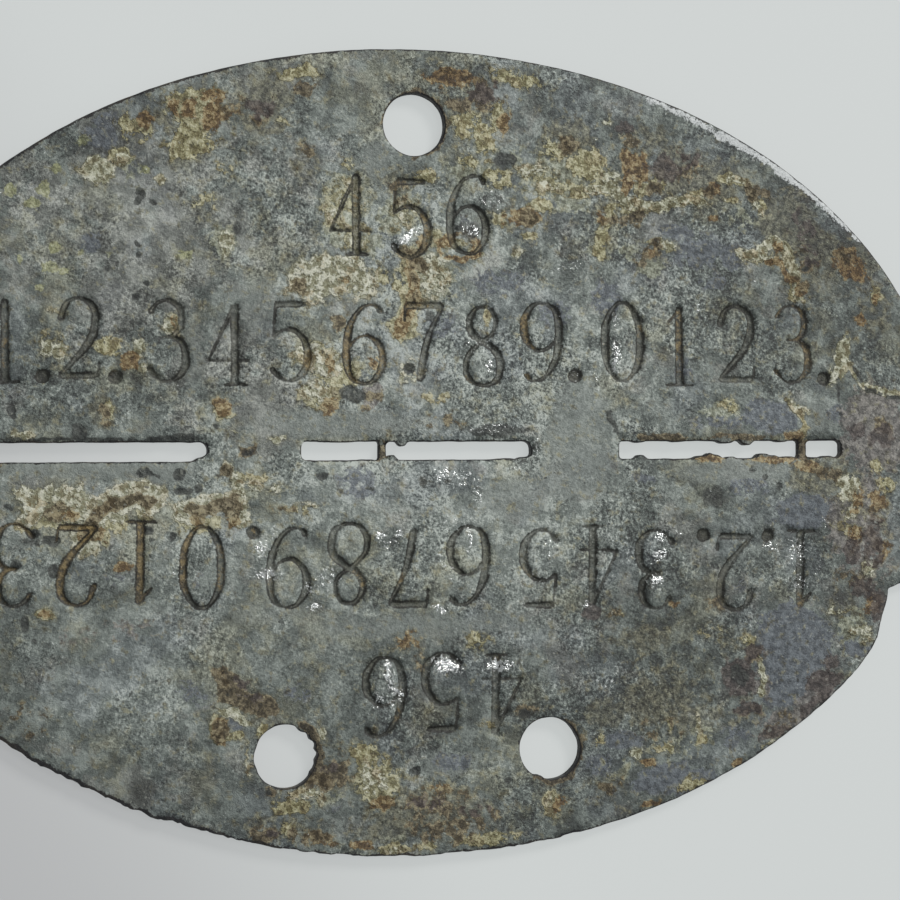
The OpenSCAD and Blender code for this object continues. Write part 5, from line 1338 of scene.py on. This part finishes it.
class Nodes:
    """Short calls for the nodes of one material."""

    def __init__(self, name):
        self.material = bpy.data.materials.new(name)
        self.material.use_nodes = True
        self.tree = self.material.node_tree
        self.tree.nodes.clear()
        self.output = self.tree.nodes.new("ShaderNodeOutputMaterial")
        self.place = self.tree.nodes.new("ShaderNodeTexCoord").outputs["Object"]

    def put(self, socket, value):
        """Feeds the socket with another node's output, or with a fixed value."""
        if isinstance(value, bpy.types.NodeSocket):
            self.tree.links.new(value, socket)
        else:
            socket.default_value = value

    def number(self, operation, a, b=0.0):
        node = self.tree.nodes.new("ShaderNodeMath")
        node.operation = operation
        self.put(node.inputs[0], a)
        self.put(node.inputs[1], b)
        return node.outputs[0]

    def add(self, a, b):
        return self.number("ADD", a, b)

    def times(self, a, b):
        return self.number("MULTIPLY", a, b)

    def total(self, first, *others):
        """The sum of many values."""
        for other in others:
            first = self.add(first, other)
        return first

    def above(self, value, low, high):
        """Rises smoothly from 0 to 1 as the value goes from low to high."""
        node = self.tree.nodes.new("ShaderNodeMapRange")
        node.interpolation_type = "SMOOTHSTEP"
        self.put(node.inputs["Value"], value)
        self.put(node.inputs["From Min"], low)
        self.put(node.inputs["From Max"], high)
        return node.outputs["Result"]

    def spot(self, shift, place=None):
        """The place on the surface, tilted so that flat noise varies on the walls too."""
        node = self.tree.nodes.new("ShaderNodeMapping")
        self.put(node.inputs["Vector"], place or self.place)
        node.inputs["Location"].default_value = (shift * 0.013, shift * 0.017, 0)
        node.inputs["Rotation"].default_value = (0.22, 0.24, 0.3)
        return node.outputs[0]

    def noise(self, size, detail=3.0, roughness=0.6, shift=0.0):
        """Noise with features of that size in millimetres."""
        node = self.tree.nodes.new("ShaderNodeTexNoise")
        node.noise_dimensions = "2D"
        self.put(node.inputs["Vector"], self.spot(shift))
        node.inputs["Scale"].default_value = 1 / (size * MM)
        node.inputs["Detail"].default_value = detail
        node.inputs["Roughness"].default_value = roughness
        return node.outputs["Fac"]

    def bend_place(self, size, reach):
        """From here on, cells are bent by noise of that size, by up to about that reach in millimetres."""
        node = self.tree.nodes.new("ShaderNodeTexNoise")
        node.noise_dimensions = "2D"
        self.put(node.inputs["Vector"], self.spot(21))
        node.inputs["Scale"].default_value = 1 / (size * MM)
        node.inputs["Detail"].default_value = 1
        move = self.tree.nodes.new("ShaderNodeVectorMath")
        move.operation = "MULTIPLY_ADD"
        self.put(move.inputs[0], node.outputs["Color"])
        move.inputs[1].default_value = (4 * reach * MM, 4 * reach * MM, 0)
        self.put(move.inputs[2], self.place)
        self.bent = move.outputs[0]

    def cells(self, size, shift=0.0):
        """Distance to the nearest of many scattered points, and a chance value for each point."""
        node = self.tree.nodes.new("ShaderNodeTexVoronoi")
        node.voronoi_dimensions = "2D"
        self.put(node.inputs["Vector"], self.spot(shift, self.bent))
        node.inputs["Scale"].default_value = 1 / (size * MM)
        return node.outputs["Distance"], node.outputs["Color"]

    def value(self, name):
        """The value that the mesh holds under that name."""
        node = self.tree.nodes.new("ShaderNodeAttribute")
        node.attribute_name = name
        return node.outputs["Fac"]

    def mix(self, share, a, b):
        """Colour a where the share is 0, and colour b where it is 1."""
        node = self.tree.nodes.new("ShaderNodeMix")
        node.data_type = "RGBA"
        self.put(node.inputs["Factor"], share)
        self.put(node.inputs[6], a)
        self.put(node.inputs[7], b)
        return node.outputs[2]

    def shades(self, value, colours, places):
        """The colours from dark to light, each where the value is at its place."""
        node = self.tree.nodes.new("ShaderNodeValToRGB")
        self.put(node.inputs["Fac"], value)
        elements = node.color_ramp.elements
        while len(elements) < len(colours):
            elements.new(0.5)
        for element, place, colour in zip(elements, places, colours):
            element.position = place
            element.color = srgb(*colour)
        return node.outputs["Color"]


# How each stain looks, in the order they are laid: five colours from dark to light, and what stain() takes
LOOKS = {
    "smooth": (
        ((106, 112, 107), (116, 122, 117), (123, 129, 124), (130, 136, 131), (140, 146, 141)),
        dict(spread=0.5, most=0.75, low=0.25, high=0.6),
    ),
    "umber": (
        ((42, 41, 34), (70, 69, 57), (97, 96, 81), (124, 123, 104), (164, 163, 144)),
        dict(spread=0.9, most=0.75, low=0.34, high=0.6),
    ),
    "blue": (
        ((64, 68, 72), (82, 87, 92), (96, 102, 107), (110, 116, 121), (136, 142, 146)),
        dict(spread=0.7, most=0.95, low=0.38, high=0.48),
    ),
    "pink": (
        ((62, 58, 56), (90, 86, 83), (113, 109, 105), (137, 132, 127), (168, 163, 156)),
        dict(spread=0.9, most=0.85, low=0.36, high=0.52),
    ),
    "lime": (
        ((92, 94, 78), (118, 121, 102), (144, 148, 129), (168, 172, 154), (202, 205, 190)),
        dict(spread=1.1, most=0.85, low=0.38, high=0.6, contrast=1.1),
    ),
    "lichen": (
        ((92, 94, 64), (124, 126, 86), (148, 150, 106), (166, 167, 126), (196, 198, 166)),
        dict(spread=0.9, most=0.75, low=0.4, high=0.6, contrast=1.3),
    ),
    "yellow": (
        ((82, 73, 42), (114, 106, 68), (141, 135, 97), (166, 161, 124), (201, 197, 166)),
        dict(spread=1.1, most=0.88, low=0.44, high=0.54, halo=0.4, core=0.02, contrast=1.2, outline=0.12),
    ),
    "cream": (
        ((82, 76, 50), (118, 114, 86), (146, 145, 120), (176, 176, 153), (216, 215, 198)),
        dict(spread=1.1, most=0.94, low=0.44, high=0.53, halo=0.4, core=0.02, contrast=1.2, outline=0.14),
    ),
    "rust": (
        ((54, 40, 24), (84, 64, 39), (110, 87, 55), (136, 115, 79), (178, 163, 128)),
        dict(spread=1.1, most=0.88, low=0.44, high=0.54, halo=0.4, core=-0.03, contrast=1.2, outline=0.06),
    ),
    "brown": (
        ((38, 33, 24), (60, 52, 38), (82, 73, 55), (110, 99, 78), (154, 144, 116)),
        dict(spread=1.1, most=0.9, low=0.44, high=0.54, halo=0.25, core=-0.05, outline=0.12),
    ),
    "plum": (
        ((40, 35, 34), (57, 50, 48), (73, 65, 62), (92, 84, 80), (126, 118, 112)),
        dict(spread=0.9, most=0.85, low=0.42, high=0.56),
    ),
    "dark": (
        ((26, 28, 27), (40, 43, 41), (54, 57, 54), (72, 75, 71), (100, 103, 98)),
        dict(spread=0.5, most=0.9, low=0.46, high=0.66),
    ),
}
FIVE_PLACES = (0.2, 0.36, 0.5, 0.64, 0.8)
THREE_PLACES = (0.3, 0.5, 0.75)


def zinc_material():
    """Worn zinc, laid up from the grey ground to the bare metal."""
    n = Nodes("worn_zinc")
    n.bend_place(0.8, 0.16)
    cloud = n.noise(1.6, 4, 0.66, 2)
    grit = n.noise(0.32, 3, 0.9, 3)
    ragged = n.noise(0.7, 4, 0.85, 6)
    fine = n.noise(0.18, 2, 0.75, 15)
    lumps = n.noise(0.45, 2, 0.6, 37)
    border = n.noise(0.7, 3, 0.65, 35)
    tint = n.value("tint")
    zone = n.value("zone")
    hue = n.value("hue")
    lift = n.value("lift")

    def off(value, scale):
        """The value about its middle of a half, times scale."""
        return n.times(n.add(value, -0.5), scale)

    def line(value, place, half):
        """1 where the value is at that place, and 0 from half a breadth away."""
        return n.above(n.number("ABSOLUTE", n.add(value, -place)), half, 0.0)

    # The grey ground: smooth zones and rough zones, with an upper layer that is partly gone
    dark_grains = n.times(n.above(grit, 0.43, 0.37), -0.14)
    light_grains = n.times(n.above(grit, 0.58, 0.64), 0.05)
    grains = n.total(off(fine, 0.94), off(grit, 0.58), dark_grains, light_grains)
    grains = n.times(grains, n.value("grainy"))
    rough_zone = n.above(n.add(zone, off(ragged, 0.3)), 0.45, 0.56)
    layer = n.above(n.add(cloud, off(ragged, 0.35)), 0.49, 0.54)
    second = n.above(n.add(tint, off(ragged, 0.45)), 0.45, 0.48)
    chipped = n.add(border, off(grit, 0.3))
    chips = n.above(chipped, 0.5, 0.53)
    # Painted highlight along the borders of the chips, standing in for light on their raised edges
    painted_chip_highlight = n.times(line(chipped, 0.535, 0.022), 0.07)
    flaked = n.times(n.add(off(chips, 0.08), painted_chip_highlight), n.add(0.25, n.times(rough_zone, 0.75)))
    # Charted lighter and darker tone. A few of the darker rows are painted shade
    placed = n.add(n.times(n.value("pale"), 0.12), n.times(n.value("dusk"), -0.1))
    clouds = n.times(off(cloud, 0.74), n.value("cloudy"))
    shown_grains = n.times(grains, n.add(0.5, n.times(rough_zone, 0.7)))
    # Through lift, raised places are painted lighter and low places darker, as painted light and shade
    tone = n.total(0.5, off(n.value("broad"), 0.25), clouds, shown_grains, off(layer, 0.09),
                   off(second, 0.06), flaked, n.times(lift, 0.09), placed)
    colour = n.shades(tone, ((43, 46, 44), (82, 88, 84), (110, 117, 112), (139, 146, 140), (188, 194, 187)),
                      (0.15, 0.36, 0.5, 0.66, 0.85))

    # Its colour leans to blue, to brown or to olive from place to place, and keeps its light and dark
    olive = n.above(n.add(hue, off(border, 0.4)), 0.53, 0.68)
    browner = n.above(n.add(tint, off(border, 0.3)), 0.54, 0.66)
    for mask, share, colours in (
        (n.above(hue, 0.46, 0.34), 0.35, ((56, 61, 66), (103, 110, 114), (160, 167, 171))),
        (browner, 0.3, ((62, 57, 52), (118, 113, 107), (170, 164, 156))),
        (olive, 0.5, ((56, 55, 42), (113, 113, 94), (170, 170, 146))),
    ):
        colour = n.mix(n.times(mask, share), colour, n.shades(tone, colours, (0.22, 0.5, 0.78)))

    # Stains and crusts, with ragged edges, grains, a faint halo and a light core
    knobs = n.above(n.add(lumps, off(grit, 0.25)), 0.44, 0.52)
    # Painted shade in the thin crevices between the lumps
    painted_crevice_shade = n.times(line(lumps, 0.45, 0.03), -0.08)
    # The stains' own light and dark, with painted light and shade by height, a painted highlight on the chip
    # borders and painted shade in the crevices
    shade = n.total(0.5, n.times(grains, 0.6), off(lumps, 0.5), n.times(lift, 0.03), off(knobs, 0.1), painted_chip_highlight,
                    painted_crevice_shade, n.times(placed, 0.5))
    halo_colour = n.shades(shade, ((58, 55, 41), (104, 101, 80), (156, 153, 126)), THREE_PLACES)

    def stain(under, kind, colours, spread, most, low, high, halo=0.0, core=0.0, contrast=1.0, outline=0.0):
        """The colour under the stain with the stain laid over it, and the stain's share at each place.

        The border is as ragged as spread. The stain starts where its field is low, and is whole at high.
        """
        field = n.total(n.value(kind), off(border, 1.4 * spread), n.times(grains, 0.2 * spread))
        if halo:
            under = n.mix(n.times(n.above(field, low - 0.34, low), halo), under, halo_colour)
        mask = n.times(n.above(field, low, high), most)
        light = n.total(0.5, off(shade, contrast), n.times(n.add(field, -0.8), core))
        if outline:
            near_edge = n.above(n.number("ABSOLUTE", n.add(field, -high - 0.08)), 0.13, 0.03)
            light = n.add(light, n.times(near_edge, outline))
        return n.mix(mask, under, n.shades(light, colours, FIVE_PLACES)), mask

    masks = {}
    for kind, (colours, look) in LOOKS.items():
        colour, masks[kind] = stain(colour, kind, colours, **look)
        if kind == "cream":
            crusts = n.add(masks["yellow"], masks["cream"])
            burnt = n.times(crusts, n.above(n.add(cloud, off(border, 0.6)), 0.52, 0.62))
            burnt_colours = ((66, 48, 26), (98, 75, 43), (130, 105, 64), (162, 138, 94), (196, 178, 138))
            colour = n.mix(n.times(burnt, 0.26), colour, n.shades(shade, burnt_colours, FIVE_PLACES))

    # Small pits in the rough zones, and pale flecks painted in as sparkles of light
    def scattered(size, shift, most, least, where):
        """Spots of many sizes in the cells, only where the other value is 1."""
        near, chance = n.cells(size, shift)
        limit = n.add(n.times(chance, most), least)
        return n.times(n.above(near, limit, n.add(limit, -0.1)), where)

    pits = scattered(0.5, 8, 0.6, -0.3, n.above(n.add(zone, off(ragged, 0.6)), 0.5, 0.56))
    colour = n.mix(n.times(pits, 0.75), colour, srgb(48, 50, 46))
    painted_sparkles = scattered(0.42, 10, 0.5, -0.22, n.above(tint, 0.44, 0.56))
    colour = n.mix(n.times(painted_sparkles, 0.3), colour, srgb(184, 186, 174))

    # The stamped strokes: painted shade in dark lines along their walls, and dirt or ochre on the floor
    stroke = n.total(n.value("stroke"), off(ragged, 0.2), off(grit, 0.12))
    floor = n.above(stroke, 0.0, -0.08)
    # Painted shade just inside the edge of each stroke, where its wall falls away
    wall = n.times(n.above(stroke, 0.04, -0.01), n.above(stroke, -0.16, -0.07))
    ochre = n.total(n.value("ochre"), off(cloud, 1.6), off(ragged, 1.0), n.times(grains, 0.4))
    ochre = n.times(floor, n.above(ochre, 0.45, 0.75))
    faint = n.above(n.add(cloud, off(ragged, 0.5)), 0.62, 0.42)
    colour = n.mix(n.times(floor, 0.6), colour, n.shades(shade, ((46, 46, 38), (88, 86, 74)), (0.3, 0.7)))
    ochre_colour = n.shades(shade, ((52, 44, 29), (95, 79, 50), (150, 129, 84)), THREE_PLACES)
    colour = n.mix(n.times(ochre, 0.75), colour, ochre_colour)
    colour = n.mix(n.times(wall, n.add(0.5, n.times(faint, 0.42))), colour, srgb(32, 31, 26))

    # Painted highlight along the upper right rim, then painted shade on the dark edge and on the walls, and
    # bare glossy metal last
    painted_rim_sheen = n.above(n.total(n.value("painted_rim_sheen"), off(grit, 1.6), off(fine, 0.8)), 0.4, 0.6)
    edge = n.above(n.total(n.value("edge"), off(ragged, 0.5), off(grit, 0.2)), 0.03, -0.03)
    shiny = n.value("gloss")
    gloss = n.above(n.total(n.times(shiny, 0.8), off(grit, 2.2), off(fine, 1.8)), 0.85, 1.05)
    painted_rim_sheen_colour = n.shades(grit, ((168, 172, 172), (205, 208, 208)), (0.3, 0.55))
    # Near-black painted shade for the edge and for the walls
    edge_shade_colour = n.shades(cloud, ((22, 22, 26), (42, 36, 31)), (0.4, 0.65))
    wall_shade_colour = n.shades(cloud, ((26, 26, 28), (50, 49, 48), (90, 80, 62)), (0.35, 0.55, 0.7))
    colour = n.mix(n.times(painted_rim_sheen, 0.9), colour, painted_rim_sheen_colour)
    colour = n.mix(n.times(edge, 0.95), colour, edge_shade_colour)
    colour = n.mix(n.times(n.value("wall"), 0.95), colour, wall_shade_colour)
    colour = n.mix(gloss, colour, srgb(226, 228, 226))

    crusty = n.total(masks["cream"], masks["rust"], masks["brown"])
    rough = n.total(0.6, off(grit, 0.5), n.times(crusty, 0.15), n.times(n.above(shiny, 0.2, 0.9), -0.12),
                    n.times(gloss, -0.35))
    rough = n.number("MINIMUM", n.number("MAXIMUM", rough, 0.2), 1.0)

    relief = n.total(n.times(cloud, 0.4), n.times(grit, 0.4), n.times(chips, 0.12), off(fine, 0.25),
                     n.times(crusts, n.add(0.15, n.times(knobs, 0.2))))
    bump = n.tree.nodes.new("ShaderNodeBump")
    bump.inputs["Strength"].default_value = 1.0
    bump.inputs["Distance"].default_value = 0.15 * MM
    n.put(bump.inputs["Height"], relief)

    shader = n.tree.nodes.new("ShaderNodeBsdfPrincipled")
    n.put(shader.inputs["Base Color"], colour)
    n.put(shader.inputs["Roughness"], rough)
    n.put(shader.inputs["Metallic"], n.times(gloss, 0.9))
    n.put(shader.inputs["Normal"], bump.outputs["Normal"])
    n.tree.links.new(shader.outputs[0], n.output.inputs["Surface"])
    return n.material


def glowing_floor_material():
    """Pale and glowing, with a painted shadow that darkens it towards the lower left."""
    n = Nodes("glowing_floor_with_painted_shadow")
    apart = n.tree.nodes.new("ShaderNodeSeparateXYZ")
    n.put(apart.inputs[0], n.place)
    shadow_slope = n.add(n.times(apart.outputs["X"], 1 / 0.03), n.times(apart.outputs["Y"], 1 / 0.06))
    colour = n.shades(n.above(shadow_slope, -1.4, -0.2), ((160, 161, 162), (190, 194, 193)), (0, 1))
    shader = n.tree.nodes.new("ShaderNodeBsdfPrincipled")
    shader.inputs["Base Color"].default_value = (0.14, 0.142, 0.142, 1)
    shader.inputs["Roughness"].default_value = 0.9
    # The glow is painted light, so that no shadow shows on the floor or through the openings
    n.put(shader.inputs["Emission Color"], colour)
    shader.inputs["Emission Strength"].default_value = 0.95
    n.tree.links.new(shader.outputs[0], n.output.inputs["Surface"])
    return n.material


# The scene: a lamp's row is name, azimuth and elevation in degrees, distance, size, power, and colour
FLOOR_HALF = 0.6
LAMPS = [
    ("key", 46, 36, 0.5, 0.14, 1.65, (1.0, 0.99, 0.97)),
    ("over", 30, 66, 0.6, 0.2, 0.6, (0.97, 0.99, 1.0)),
]
ROOM_COLOUR = (0.94, 0.98, 1.0, 1)
ROOM_STRENGTH = 0.32
SENSOR_WIDTH = 36
LENS = 102.486
CAMERA_PLACE = (-34.057, -3.086, 155.332)
CAMERA_TURN = (1.2607, -13.1422, -0.5116)


def add_plate():
    plate = bpy.data.objects.new("tag_plate_worn", plate_mesh())
    bpy.context.scene.collection.objects.link(plate)
    plate.data.materials.append(zinc_material())
    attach(plate, "root")
    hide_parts("tag_plate")


def add_floor():
    mesh = bpy.data.meshes.new("floor")
    corners = [(x * FLOOR_HALF, y * FLOOR_HALF, 0) for x, y in ((-1, -1), (1, -1), (1, 1), (-1, 1))]
    mesh.from_pydata(corners, [], [(0, 1, 2, 3)])
    floor = bpy.data.objects.new("floor", mesh)
    bpy.context.scene.collection.objects.link(floor)
    mesh.materials.append(glowing_floor_material())


def add_lamp(name, azimuth, elevation, distance, size, power, colour):
    """A soft square lamp that points at the middle of the plate."""
    data = bpy.data.lights.new(name, "AREA")
    data.size = size
    data.energy = power
    data.color = colour
    lamp = bpy.data.objects.new(name, data)
    a, e = math.radians(azimuth), math.radians(elevation)
    way = Vector((math.cos(e) * math.cos(a), math.cos(e) * math.sin(a), math.sin(e)))
    lamp.location = way * distance
    lamp.rotation_euler = way.to_track_quat("Z", "Y").to_euler()
    bpy.context.scene.collection.objects.link(lamp)


def add_light():
    """Even light from the room, and the lamps."""
    world = bpy.data.worlds.new("soft_room")
    world.use_nodes = True
    background = world.node_tree.nodes["Background"]
    background.inputs["Color"].default_value = ROOM_COLOUR
    background.inputs["Strength"].default_value = ROOM_STRENGTH
    bpy.context.scene.world = world
    for row in LAMPS:
        add_lamp(*row)


def add_camera():
    """The camera of the photo, high over the plate's left end and turned towards its middle."""
    data = bpy.data.cameras.new("camera")
    data.sensor_width = SENSOR_WIDTH
    data.lens = LENS
    data.clip_start = 0.01
    camera = bpy.data.objects.new("camera", data)
    camera.location = Vector(CAMERA_PLACE) * MM
    camera.rotation_euler = [math.radians(a) for a in CAMERA_TURN]
    bpy.context.scene.collection.objects.link(camera)
    bpy.context.scene.camera = camera


add_plate()
add_floor()
add_light()
add_camera()
bpy.context.scene.view_settings.view_transform = "Standard"
